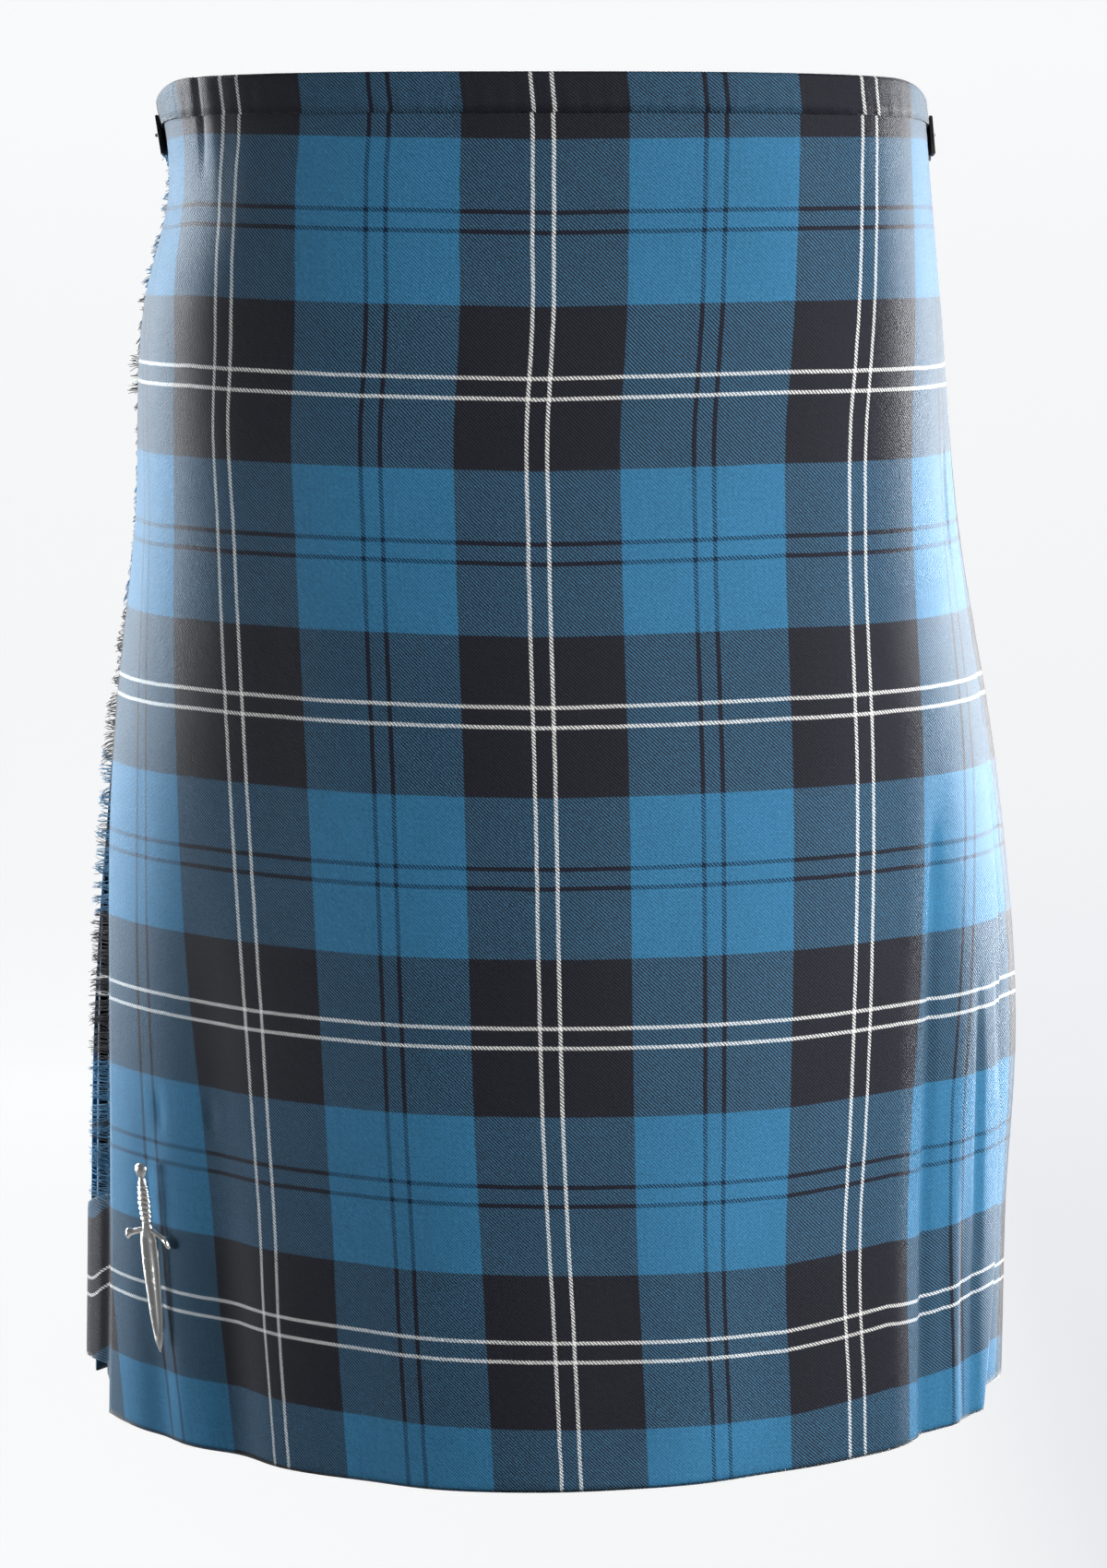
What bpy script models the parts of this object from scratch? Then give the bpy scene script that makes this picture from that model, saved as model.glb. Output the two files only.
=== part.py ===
"""A Scottish kilt in its worn shape, with nobody in it.

The cloth is one long strip in the real thing: an over apron in front, knife pleats round the back, and an
under apron that closes the ring beneath the over apron. A narrow waistband is folded over each top edge, the
over apron's free edge is fringed, and two small straps and buckles hold the kilt at the waist.

Sizes are in millimetres, and become metres where a mesh is made. A place on the cloth is given by three
numbers: its drop below the top edge, its arc along the level ring there, counted from the middle of the front
towards the wearer's left (+X), and how far out from the form it lies. The front faces -Y.
"""
import math
from collections import namedtuple

import bmesh
import bpy
import numpy as np
from mathutils import Matrix, Vector

MM = 0.001
SEAM = 0.3                 # clear gap between pieces that are sewn together

# ---- The cloth ------------------------------------------------------------------------------------------
CLOTH = 1.2                # thickness of the kilting wool
LENGTH = 610.0             # drop of the kilt from its top edge to its hem
BAND_HEIGHT = 17.0         # waistband
BAND_CLOTH = 1.0
BAND_PROUD = SEAM + BAND_CLOTH
PLEATS_BAND_STATIONS = 38
PLEATS_BAND_DEPTH = 6.0    # how far inside the form its inner leg lies
PLEATS_BAND_AT_ENDS = 8.0  # and near its ends, where the pleats start and finish lower
PLEATS_BAND_ENDS = (40.0, 100.0)
PANEL_TOP = 1.6            # the panels' top edge, inside the fold of the waistband
UNDER_SHORT = 12.0         # the under apron's hem is this much higher, so that it never shows

# ---- The form: level sections, from the top edge down ----------------------------------------------------
# front_square and back_square swell a section at its four corners, and flatten it there where negative.
# sway moves the section to the wearer's left, and drift is the arc of the over apron's own centre line.
# rise lifts the cloth at the wearer's sides and back: the waist dips there, and the hem swings up.
# free and fold are the over apron's fringed and folded edges, as arcs from its centre line.
Section = namedtuple(
    "Section", "drop half_width front_depth back_depth front_square back_square sway drift rise free fold")
FORM = (
    Section(0.0, 169.5, 133.0, 115.0, 0.050, 0.03, -5.5, 2.5, -8.0, -228.0, 226.0),
    Section(45.0, 169.2, 130.5, 123.0, 0.048, 0.03, -1.6, 2.0, -5.0, -232.0, 228.0),
    Section(100.0, 177.6, 128.0, 136.0, 0.045, 0.03, -4.9, 1.5, -2.0, -236.0, 231.0),
    Section(200.0, 184.8, 138.0, 163.0, 0.025, 0.02, -3.0, -1.5, 0.0, -244.0, 235.0),
    Section(310.0, 201.0, 144.0, 174.0, 0.005, 0.01, -1.0, -1.5, 1.0, -239.0, 237.0),
    Section(420.0, 210.2, 147.0, 178.0, -0.020, 0.00, 0.2, 0.5, 3.5, -234.5, 237.0),
    Section(520.0, 209.5, 145.0, 183.0, -0.030, 0.00, -3.0, 8.0, 7.0, -237.0, 237.0),
    Section(610.0, 209.5, 142.0, 188.0, -0.040, 0.00, -4.0, 13.0, 12.0, -243.0, 222.0),
)
RISE_REACH = 250.0         # arc from the middle of the front at which the rise is whole
CORNER_DIP = 5.0           # the waistband's top edge rounds down at the hips, where the band narrows
CORNER_FROM, CORNER_TO = 165.0, 235.0
CORNER_BELOW = BAND_HEIGHT + 3.0

# ---- Soft folds that hang in both aprons, each a trough that grows from its top to the hem ---------------
Fold = namedtuple("Fold", "arc_top arc_hem drop_top depth half_width")
FOLDS = (
    Fold(-166.0, -161.0, 300.0, 6.0, 17.0),
    Fold(-207.0, -204.0, 420.0, 2.2, 10.0),
    Fold(-84.0, -92.0, 430.0, 2.0, 22.0),
    Fold(96.0, 88.0, 400.0, 2.4, 24.0),
    Fold(188.0, 183.0, 230.0, 4.5, 12.0),
    Fold(213.0, 210.0, 380.0, 2.5, 8.0),
)

# ---- Over apron and under apron --------------------------------------------------------------------------
APRON_STATIONS = 38
APRON_DROPS = (PANEL_TOP, 16.0, 45.0, 72.0, 100.0, 165.0, 235.0, 310.0, 380.0, 445.0, 500.0, 550.0, 575.0,
               LENGTH - UNDER_SHORT, LENGTH)
TURN_UNDER = 24.0          # cloth turned under along the folded edge
TURN_GAP = 0.5
UNDER_LAST_STATION = 35    # the under apron ends here, inside the wearer's left hip
UNDER_DROPS = APRON_DROPS[:-1]
LAYER_AT_BAND = 4.1        # how far in the under layer lies, where both waistbands need room
LAYER_BELOW = 2.1          # and lower down
LAYER_EASED = 70.0         # drop at which the layers have come together

# ---- Knife pleats ----------------------------------------------------------------------------------------
PLEATS = 26
PLEAT_DROPS = (PANEL_TOP, 16.0, 45.0, 72.0, 100.0, 165.0, 235.0, 310.0, 380.0, 445.0, 500.0, 550.0, LENGTH)
PLEAT_HIDDEN_SHARE = 0.30  # the part of a pleat's visible width that doubles back under its fold
START_UNDER = 8.0          # the first pleat starts this far under the over apron's folded edge
START_DEPTH = 7.0
END_UNDER = 4.0            # the last one meets the under apron this far under the fringed edge
PLEAT_BELLY = 0.3          # a strip's middle stands this much out of straight
NOSE_BLUNT = 0.35          # how far a fold's nose stands past its crease, in cloth thicknesses
# Depth of a pleat from its inner crease to its outer fold, and how far its fold stands out of the form.
Pleating = namedtuple("Pleating", "drop depth stand")
PLEATING = (
    Pleating(0.0, 2.4, -1.2),
    Pleating(20.0, 2.4, -1.1),
    Pleating(60.0, 3.2, 0.2),
    Pleating(210.0, 4.2, 1.6),
    Pleating(420.0, 5.4, 3.0),
    Pleating(610.0, 7.2, 5.0),
)
PLEAT_EASE = 75.0          # arc over which the folds come out to their full stand, from either apron edge
PLEAT_UNDER_FRINGE = 32.0  # the fringe covers this much of the pleats
PLEAT_SINK_AT_FRINGE = 3.0 # and they lie this deep under it
PLEAT_SINK_AT_FOLD = 0.8   # and beside the over apron's folded edge
PLEAT_SWING = 1.0          # slow unevenness of the hanging folds at the hem

# ---- Fringe along the over apron's free edge ---------------------------------------------------------------
FRINGE_TOP = 29.0
FRINGE_BOTTOM = 586.0
FRINGE_STRANDS = 112
FRINGE_STRIP = 3.0         # unravelled edge's backing strip
FRINGE_ROOT = SEAM + FRINGE_STRIP
FRINGE_LENGTH = 19.0
FRINGE_STRAND_SHARE = 0.62 # of a strand's pitch along the edge
FRINGE_TIP_SHARE = 0.35
FRINGE_UNEVEN = 2.5
FRINGE_DROOP = 1.4
FRINGE_THICK_OUT = -CLOTH / 2   # strands leave the strip's middle
FRINGE_SEED = 11

# ---- Straps and buckles ------------------------------------------------------------------------------------
STRAP_WIDTH = 20.0
STRAP_THICK = 1.6
STRAP_TOP = 11.0           # drop of the strap's upper edge
STRAP_STATIONS = 14
STRAP_REACH = 106.0        # length of a strap's outer stretch
STRAP_POINT = 9.0          # taper at its tip
BUCKLE_AT = 54.0           # from the strap's root to the middle of the buckle
BUCKLE_LENGTH = 17.0
BUCKLE_WIRE = 1.3          # radius
BUCKLE_CLEAR = 2.2         # from the strap's edge to the wire's centre line
TONGUE_WIRE = 0.9
CHAPE_THICK = 1.6          # leather that holds the buckle's hinge bar
CHAPE_LENGTH = 20.0

# ---- Kilt pin: a small dagger ---------------------------------------------------------------------------
PIN_DROP = 525.0           # its middle
PIN_ARC = -203.5
PIN_LEAN = math.radians(3.3)
PIN_YAW = math.radians(-16.0)   # it faces a little more to the front than the cloth under it
PIN_STAND = 3.0            # the plane between needle and dagger, off the cloth
DAGGER_BACK = 1.8          # the dagger's middle, out from that plane
# Along the dagger from the pommel's end to the tip: half its width and half its thickness.
Blade = namedtuple("Blade", "along half_width half_thick")
DAGGER = (
    Blade(0.0, 0.8, 0.6),
    Blade(1.2, 2.6, 1.3),
    Blade(3.4, 3.4, 1.7),
    Blade(5.8, 2.9, 1.5),
    Blade(7.6, 2.0, 1.2),
    Blade(10.0, 2.5, 1.4),
    Blade(18.0, 2.8, 1.5),
    Blade(25.0, 2.2, 1.3),
    Blade(29.0, 2.6, 1.3),
    Blade(35.0, 4.5, 1.1),
    Blade(48.0, 4.1, 1.1),
    Blade(66.0, 3.6, 1.0),
    Blade(78.0, 2.2, 0.8),
    Blade(86.0, 0.3, 0.3),
)
GUARD_AT = 30.0
GUARD_SPAN = 27.0
GUARD_DROOP = 5.5
GUARD_HALF_HEIGHT = 2.1
GUARD_HALF_THICK = 1.2
GUARD_STATIONS = 9
NEEDLE_WIRE = 0.7          # radius
NEEDLE_FROM = 33.0
NEEDLE_TO = 76.0
NEEDLE_ASIDE = 2.4
POST_RADIUS = 1.2
POST_AT = (36.0, 72.0)     # hinge and catch, behind the blade


# ---- Interpolation along a table ---------------------------------------------------------------------------
def eased(table, column, at):
    """A column of a table, drawn as one smooth curve through its rows."""
    drops = [row.drop for row in table]
    values = [getattr(row, column) for row in table]
    slopes = np.gradient(values, drops)
    low = int(np.clip(np.searchsorted(drops, at) - 1, 0, len(drops) - 2))
    span = drops[low + 1] - drops[low]
    t = min(max((at - drops[low]) / span, 0.0), 1.0)
    a, b = values[low], values[low + 1]
    ma, mb = slopes[low] * span, slopes[low + 1] * span
    return ((2 * t**3 - 3 * t**2 + 1) * a + (t**3 - 2 * t**2 + t) * ma
            + (3 * t**2 - 2 * t**3) * b + (t**3 - t**2) * mb)


def smoothstep(low, high, value):
    t = min(max((value - low) / (high - low), 0.0), 1.0)
    return t * t * (3.0 - 2.0 * t)


def relief(arc, drop):
    """How far the hanging folds push the aprons in or out at a place."""
    out = 0.0
    for fold in FOLDS:
        if drop <= fold.drop_top:
            continue
        share = (drop - fold.drop_top) / (LENGTH - fold.drop_top)
        centre = fold.arc_top + (fold.arc_hem - fold.arc_top) * share
        across = (arc - centre) / fold.half_width
        out -= fold.depth * smoothstep(0.0, 1.0, share) * math.exp(-across * across)
    return out


class Ring:
    """One level section of the form, measured along its own arc."""

    STEPS = 720

    def __init__(self, drop):
        self.drop = drop
        row = {name: eased(FORM, name, drop) for name in Section._fields[1:]}
        self.drift, self.rise = row["drift"], row["rise"]
        self.free, self.fold = row["free"], row["fold"]
        self.corner = CORNER_DIP * (1.0 - smoothstep(0.0, CORNER_BELOW, drop))
        angles = np.linspace(-math.pi, math.pi, self.STEPS + 1)
        front = np.abs(angles) <= math.pi / 2
        square = np.where(front, row["front_square"], row["back_square"])
        depth = np.where(front, row["front_depth"], row["back_depth"])
        swell = 1.0 - square
        x = row["sway"] + row["half_width"] * (np.sin(angles) + square * np.sin(3 * angles)) / swell
        y = -depth * (np.cos(angles) - square * np.cos(3 * angles)) / swell
        steps = np.hypot(np.diff(x), np.diff(y))
        arcs = np.concatenate(([0.0], np.cumsum(steps)))
        self.arcs = arcs - arcs[self.STEPS // 2]
        self.x, self.y = x, y
        self.half = (self.arcs[-1] - self.arcs[0]) / 2
        along_x, along_y = np.gradient(x, self.arcs), np.gradient(y, self.arcs)
        size = np.hypot(along_x, along_y)
        self.normal_x, self.normal_y = along_y / size, -along_x / size

    def at(self, arc, out):
        """The place at an arc, moved out along the level normal."""
        around = 2 * self.half
        arc = (arc - self.arcs[0]) % around + self.arcs[0]
        x, y, nx, ny = (np.interp(arc, self.arcs, values)
                        for values in (self.x, self.y, self.normal_x, self.normal_y))
        height = top_height() - self.drop + self.rise * min(abs(arc) / RISE_REACH, 1.0) ** 3
        height -= self.corner * smoothstep(CORNER_FROM, CORNER_TO, abs(arc))
        return Vector((x + nx * out, y + ny * out, height)) * MM

    def free_edge(self):
        return self.drift + self.free

    def fold_edge(self):
        return self.drift + self.fold


def top_height():
    """The top edge is half a waistband above the origin."""
    return BAND_HEIGHT / 2


def under_layer(drop):
    """How far in the outer face of the layer under the over apron lies."""
    return LAYER_AT_BAND + (LAYER_BELOW - LAYER_AT_BAND) * smoothstep(BAND_HEIGHT, LAYER_EASED, drop)


# ---- Meshes ------------------------------------------------------------------------------------------------
def material(name, colour, roughness, metallic=0.0):
    made = bpy.data.materials.new(name)
    made.use_nodes = True
    shader = made.node_tree.nodes["Principled BSDF"]
    shader.inputs["Base Color"].default_value = (*colour, 1.0)
    shader.inputs["Roughness"].default_value = roughness
    shader.inputs["Metallic"].default_value = metallic
    return made


def finish(mesh_builder, name, look, collection):
    """Close the mesh's bookkeeping: outward faces, a named object, its material."""
    bmesh.ops.recalc_face_normals(mesh_builder, faces=mesh_builder.faces)
    if mesh_builder.calc_volume(signed=True) < 0:
        bmesh.ops.reverse_faces(mesh_builder, faces=mesh_builder.faces)
    mesh = bpy.data.meshes.new(name)
    mesh_builder.to_mesh(mesh)
    mesh_builder.free()
    mesh.materials.append(look)
    piece = bpy.data.objects.new(name, mesh)
    collection.objects.link(piece)
    return piece


def loft(loops):
    """A closed body through loops of equally many points, with a flat cap at each end."""
    builder = bmesh.new()
    rings = [[builder.verts.new(point) for point in loop] for loop in loops]
    for upper, lower in zip(rings, rings[1:]):
        for index, corner in enumerate(upper):
            after = (index + 1) % len(upper)
            builder.faces.new((corner, upper[after], lower[after], lower[index]))
    builder.faces.new(list(reversed(rings[0])))
    builder.faces.new(rings[-1])
    return builder


def wall_loop(ring, chain):
    """Map a closed chain of (arc, out) pairs on to a ring, with the hanging folds in it."""
    return [ring.at(arc, out + relief(arc - ring.drift, ring.drop)) for arc, out in chain]


def spread(low, high, count):
    return [low + (high - low) * index / (count - 1) for index in range(count)]


# ---- Aprons ------------------------------------------------------------------------------------------------
def over_apron_arcs(ring):
    """The free edge, then stations from the under apron's edge to where the cloth turns under."""
    free = ring.free_edge()
    return [free] + spread(free + END_UNDER + SEAM, ring.fold_edge() - CLOTH, APRON_STATIONS - 1)


def under_apron_arcs(ring):
    """The over apron's own stations, from where the pleats end to inside the wearer's left hip."""
    return over_apron_arcs(ring)[1:UNDER_LAST_STATION]


def over_apron_chain(ring):
    """Outer face, round the folded edge, back along the turned-under cloth, then the inner face."""
    fold = ring.fold_edge()
    outer = [(arc, 0.0) for arc in over_apron_arcs(ring)]
    inner_depth = -2 * CLOTH - TURN_GAP
    nose = [(fold - 0.2 * CLOTH, -0.4 * CLOTH), (fold - 0.2 * CLOTH, inner_depth + 0.4 * CLOTH)]
    turned = [(arc, inner_depth) for arc in spread(fold - CLOTH, fold - TURN_UNDER, 4)]
    slot = [(arc, -CLOTH - TURN_GAP) for arc in spread(fold - TURN_UNDER, fold - 1.6 * CLOTH, 4)]
    slot.append((fold - 1.6 * CLOTH, -CLOTH))
    inner = [(arc, -CLOTH) for arc in reversed(over_apron_arcs(ring)[:-1])]
    return outer + nose + turned + slot + inner


def make_over_apron(look, collection):
    loops = [wall_loop(ring, over_apron_chain(ring)) for ring in map(Ring, APRON_DROPS)]
    return finish(loft(loops), "over_apron", look, collection)


def under_apron_chain(ring):
    layer = -under_layer(ring.drop)
    outer = [(arc, layer) for arc in under_apron_arcs(ring)]
    return outer + [(arc, layer - CLOTH) for arc, _ in reversed(outer)]


def make_under_apron(look, collection):
    loops = [wall_loop(ring, under_apron_chain(ring)) for ring in map(Ring, UNDER_DROPS)]
    return finish(loft(loops), "under_apron", look, collection)


# ---- Pleats ------------------------------------------------------------------------------------------------
def pleat_fold_out(ring, from_start, to_end, index):
    """How far out a pleat's fold stands, sunk near both ends of the pleated strip."""
    begin = smoothstep(0.0, PLEAT_EASE, from_start)
    finish_ease = smoothstep(PLEAT_UNDER_FRINGE, PLEAT_UNDER_FRINGE + PLEAT_EASE, to_end)
    swing = smoothstep(200.0, LENGTH, ring.drop) * math.sin(2.4 * index + 0.7 * math.sin(1.3 * index))
    stand = eased(PLEATING, "stand", ring.drop)
    free = (stand + PLEAT_SWING * swing) * begin * finish_ease
    return free - PLEAT_SINK_AT_FOLD * (1 - begin) - PLEAT_SINK_AT_FRINGE * (1 - finish_ease)


def pleat_creases(ring):
    """The pleated strip's middle line: each strip's start, middle and outer fold, then its inner crease."""
    shown_from, last = ring.fold_edge(), ring.free_edge() + END_UNDER + 2 * ring.half
    width = (last - shown_from) / (PLEATS + 1)
    depth = eased(PLEATING, "depth", ring.drop)
    creases = [(shown_from - START_UNDER, -START_DEPTH)]
    for index in range(PLEATS):
        fold = shown_from + width * (index + 1)
        out = pleat_fold_out(ring, fold - shown_from - width, last - fold, index)
        start = creases[-1]
        creases.append(((start[0] + fold) / 2, (start[1] + out) / 2 + PLEAT_BELLY))
        creases.append((fold, out))
        creases.append((fold - PLEAT_HIDDEN_SHARE * width, out - depth))
    layer = -under_layer(ring.drop) - CLOTH / 2
    start = creases[-1]
    creases.append(((start[0] + last) / 2, (start[1] + layer) / 2))
    creases.append((last, layer))
    return creases


def thickened(line):
    """Both faces of a cloth whose middle line is given, as one closed chain; sharp folds get blunt noses."""
    half = CLOTH / 2
    points = [Vector(point) for point in line]
    runs = [(after - before).normalized() for before, after in zip(points, points[1:])]
    lefts = [Vector((-run.y, run.x)) for run in runs]
    left_face, right_face = [points[0] + lefts[0] * half], [points[0] - lefts[0] * half]
    for index in range(1, len(points) - 1):
        point, run_in, run_out = points[index], runs[index - 1], runs[index]
        left_in, left_out = lefts[index - 1], lefts[index]
        mitre = (left_in + left_out) * (half / (1 + left_in.dot(left_out)))
        if run_in.dot(run_out) > 0:
            left_face.append(point + mitre)
            right_face.append(point - mitre)
            continue
        blunt = NOSE_BLUNT * CLOTH
        clockwise = run_in.cross(run_out) < 0
        side = 1 if clockwise else -1
        nose = [point + left_in * half * side + run_in * blunt,
                point + left_out * half * side - run_out * blunt]
        outer_face, crotch_face = (left_face, right_face) if clockwise else (right_face, left_face)
        outer_face.extend(nose)
        crotch_face.append(point - mitre * side)
    left_face.append(points[-1] + lefts[-1] * half)
    right_face.append(points[-1] - lefts[-1] * half)
    return left_face + list(reversed(right_face))


def make_pleats(look, collection):
    loops = []
    for ring in map(Ring, PLEAT_DROPS):
        loops.append([ring.at(arc, out) for arc, out in thickened(pleat_creases(ring))])
    return finish(loft(loops), "pleats", look, collection)


# ---- Waistband ---------------------------------------------------------------------------------------------
def band_loop(rings, arc, outermost, innermost):
    """The folded band's section at one arc: down the outer leg, over the top edge, down the inner leg."""
    ease = 0.4 * BAND_CLOTH
    section = (
        (BAND_HEIGHT, outermost), (ease, outermost), (0.0, outermost - ease),
        (0.0, innermost + ease), (ease, innermost), (BAND_HEIGHT, innermost),
        (BAND_HEIGHT, innermost + BAND_CLOTH), (BAND_CLOTH, innermost + BAND_CLOTH),
        (BAND_CLOTH, outermost - BAND_CLOTH), (BAND_HEIGHT, outermost - BAND_CLOTH),
    )
    return [rings[drop].at(arc, out) for drop, out in section]


def make_band(name, arcs, outermost, innermost, look, collection):
    """A waistband piece along the waist; innermost is a function of the arc."""
    rings = {drop: Ring(drop) for drop in (0.0, 0.4 * BAND_CLOTH, BAND_CLOTH, BAND_HEIGHT)}
    loops = [band_loop(rings, arc, outermost, innermost(arc)) for arc in arcs]
    return finish(loft(loops), name, look, collection)


def make_waistband(look, collection):
    waist = Ring(0.0)
    free, fold = waist.free_edge(), waist.fold_edge()

    def over_inner(arc):
        turned = smoothstep(fold - TURN_UNDER - 8.0, fold - TURN_UNDER - 2.0, arc)
        return -(CLOTH + BAND_PROUD) - turned * (CLOTH + TURN_GAP)

    under_inner = -(LAYER_AT_BAND + CLOTH + BAND_PROUD)
    behind = spread(fold + SEAM, free + 2 * waist.half - SEAM, PLEATS_BAND_STATIONS)

    def behind_inner(arc):
        middle = smoothstep(*PLEATS_BAND_ENDS, min(arc - behind[0], behind[-1] - arc))
        return -PLEATS_BAND_AT_ENDS + (PLEATS_BAND_AT_ENDS - PLEATS_BAND_DEPTH) * middle

    make_band("over_apron_band", over_apron_arcs(waist) + [fold], BAND_PROUD, over_inner, look, collection)
    make_band("under_apron_band", under_apron_arcs(waist), BAND_PROUD - LAYER_AT_BAND,
              lambda arc: under_inner, look, collection)
    make_band("pleats_band", behind, BAND_PROUD, behind_inner, look, collection)


# ---- Fringe ------------------------------------------------------------------------------------------------
class ApronEdge:
    """Places beyond the over apron's free edge, straight between two of the apron's own rings."""

    def __init__(self):
        self.rings = [Ring(drop) for drop in APRON_DROPS]

    def place(self, drop, beyond, out):
        low = int(np.clip(np.searchsorted(APRON_DROPS, drop) - 1, 0, len(APRON_DROPS) - 2))
        share = (drop - APRON_DROPS[low]) / (APRON_DROPS[low + 1] - APRON_DROPS[low])
        above, below = (ring.at(ring.free_edge() - beyond, out) for ring in self.rings[low:low + 2])
        return above.lerp(below, share)


def strand_loop(edge, drops, beyond, rise, thin):
    """A strand's four corners at one distance along it, thinned evenly about its middle."""
    corners = ((0, 1), (1, 1), (1, -1), (0, -1))
    made = []
    for level, side in corners:
        spread_out = 0.5 + (level - 0.5) * thin
        drop = drops[0] + (drops[1] - drops[0]) * spread_out + rise
        made.append(edge.place(drop, beyond, FRINGE_THICK_OUT + side * thin * CLOTH / 2))
    return made


def make_fringe(look, collection):
    """A narrow unravelled strip with its loose threads, one closed body."""
    chance = np.random.default_rng(FRINGE_SEED)
    edge = ApronEdge()
    pitch = (FRINGE_BOTTOM - FRINGE_TOP) / FRINGE_STRANDS
    builder = bmesh.new()
    previous = None
    first = None
    for index in range(FRINGE_STRANDS):
        top = FRINGE_TOP + pitch * index
        drops = (top, top + pitch * FRINGE_STRAND_SHARE)
        rows = []
        for drop in drops:
            places = ((SEAM, 0.0), (FRINGE_ROOT, 0.0), (FRINGE_ROOT, -CLOTH), (SEAM, -CLOTH))
            rows.append([builder.verts.new(edge.place(drop, beyond, out)) for beyond, out in places])
        upper, lower = rows
        if previous is None:
            first = upper
        else:
            for corner in range(4):
                after = (corner + 1) % 4
                builder.faces.new((previous[corner], previous[after], upper[after], upper[corner]))
        for corner in (0, 2, 3):
            after = (corner + 1) % 4
            builder.faces.new((upper[corner], upper[after], lower[after], lower[corner]))
        length = FRINGE_LENGTH + FRINGE_UNEVEN * chance.uniform(-1, 1)
        droop = FRINGE_DROOP * chance.uniform(-0.6, 1.0)
        root = [upper[1], lower[1], lower[2], upper[2]]
        for share, thin in ((0.5, 0.8), (1.0, FRINGE_TIP_SHARE)):
            corners = strand_loop(edge, drops, FRINGE_ROOT + length * share, droop * share * share, thin)
            loop = [builder.verts.new(point) for point in corners]
            for corner in range(4):
                after = (corner + 1) % 4
                builder.faces.new((root[corner], root[after], loop[after], loop[corner]))
            root = loop
        builder.faces.new(root)
        previous = lower
    builder.faces.new(first)
    builder.faces.new(previous)
    return finish(builder, "over_apron_fringe", look, collection)


# ---- Straps and buckles ------------------------------------------------------------------------------------
def slab_loop(rings_at, arc, top, bottom, low, high):
    """A strap's section at one arc, with eased edges."""
    ease = 0.35 * (high - low)
    section = (
        (top + ease, high), (bottom - ease, high), (bottom, high - ease), (bottom, low + ease),
        (bottom - ease, low), (top + ease, low), (top, low + ease), (top, high - ease),
    )
    return [rings_at(drop).at(arc, out) for drop, out in section]


def make_slab(name, root, direction, path, top, width, thick, taper, look, collection):
    """A leather piece along the waist: path is a list of (distance from its root, its underside's height)."""
    cache = {}

    def rings_at(drop):
        key = round(drop, 3)
        if key not in cache:
            cache[key] = Ring(key)
        return cache[key]

    reach = path[-1][0]
    loops = []
    for along, low in path:
        point = max(0.0, (along - reach + taper) / taper) if taper else 0.0
        inset = width * 0.5 * 0.7 * point * point
        loops.append(slab_loop(rings_at, root + direction * along, top + inset, top + width - inset,
                               low, low + thick))
    return finish(loft(loops), name, look, collection)


def strap_path():
    """The outer strap's underside: flat on the band, up over the buckle's hinge bar, flat over its chape."""
    flat = BAND_PROUD + SEAM
    over_bar = flat + 2 * BUCKLE_WIRE + SEAM
    over_chape = flat + CHAPE_THICK + SEAM
    hinge = BUCKLE_AT + BUCKLE_LENGTH / 2
    rise_from = BUCKLE_AT - BUCKLE_LENGTH / 2 + 2.0
    shape = [(0.0, flat), (rise_from, flat), (hinge - 3.0, over_bar), (hinge + 3.0, over_bar),
             (hinge + 9.0, over_chape), (STRAP_REACH, over_chape)]
    alongs = sorted(set(spread(0.0, STRAP_REACH, STRAP_STATIONS) + [point[0] for point in shape]
                        + [STRAP_REACH - STRAP_POINT, STRAP_REACH - STRAP_POINT / 2]))
    kept = [alongs[0]]
    for along in alongs[1:]:
        if along - kept[-1] > 1.5:
            kept.append(along)
    kept[-1] = STRAP_REACH
    return [(along, float(np.interp(along, [p[0] for p in shape], [p[1] for p in shape]))) for along in kept]


def tube(name, points, radius, closed, look, collection):
    """A wire through points given in metres, as a mesh object."""
    curve = bpy.data.curves.new(name, "CURVE")
    curve.dimensions = "3D"
    curve.bevel_depth = radius * MM
    curve.bevel_resolution = 1
    curve.use_fill_caps = not closed
    spline = curve.splines.new("POLY")
    spline.points.add(len(points) - 1)
    for slot, point in zip(spline.points, points):
        slot.co = (*point, 1.0)
    spline.use_cyclic_u = closed
    wire = bpy.data.objects.new(name, curve)
    bpy.context.scene.collection.objects.link(wire)
    bpy.context.view_layer.update()
    evaluated = wire.evaluated_get(bpy.context.evaluated_depsgraph_get())
    mesh = bpy.data.meshes.new_from_object(evaluated)
    bpy.data.objects.remove(wire)
    builder = bmesh.new()
    builder.from_mesh(mesh)
    bpy.data.meshes.remove(mesh)
    bmesh.ops.remove_doubles(builder, verts=builder.verts, dist=0.00001)
    return finish(builder, name, look, collection)


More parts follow.
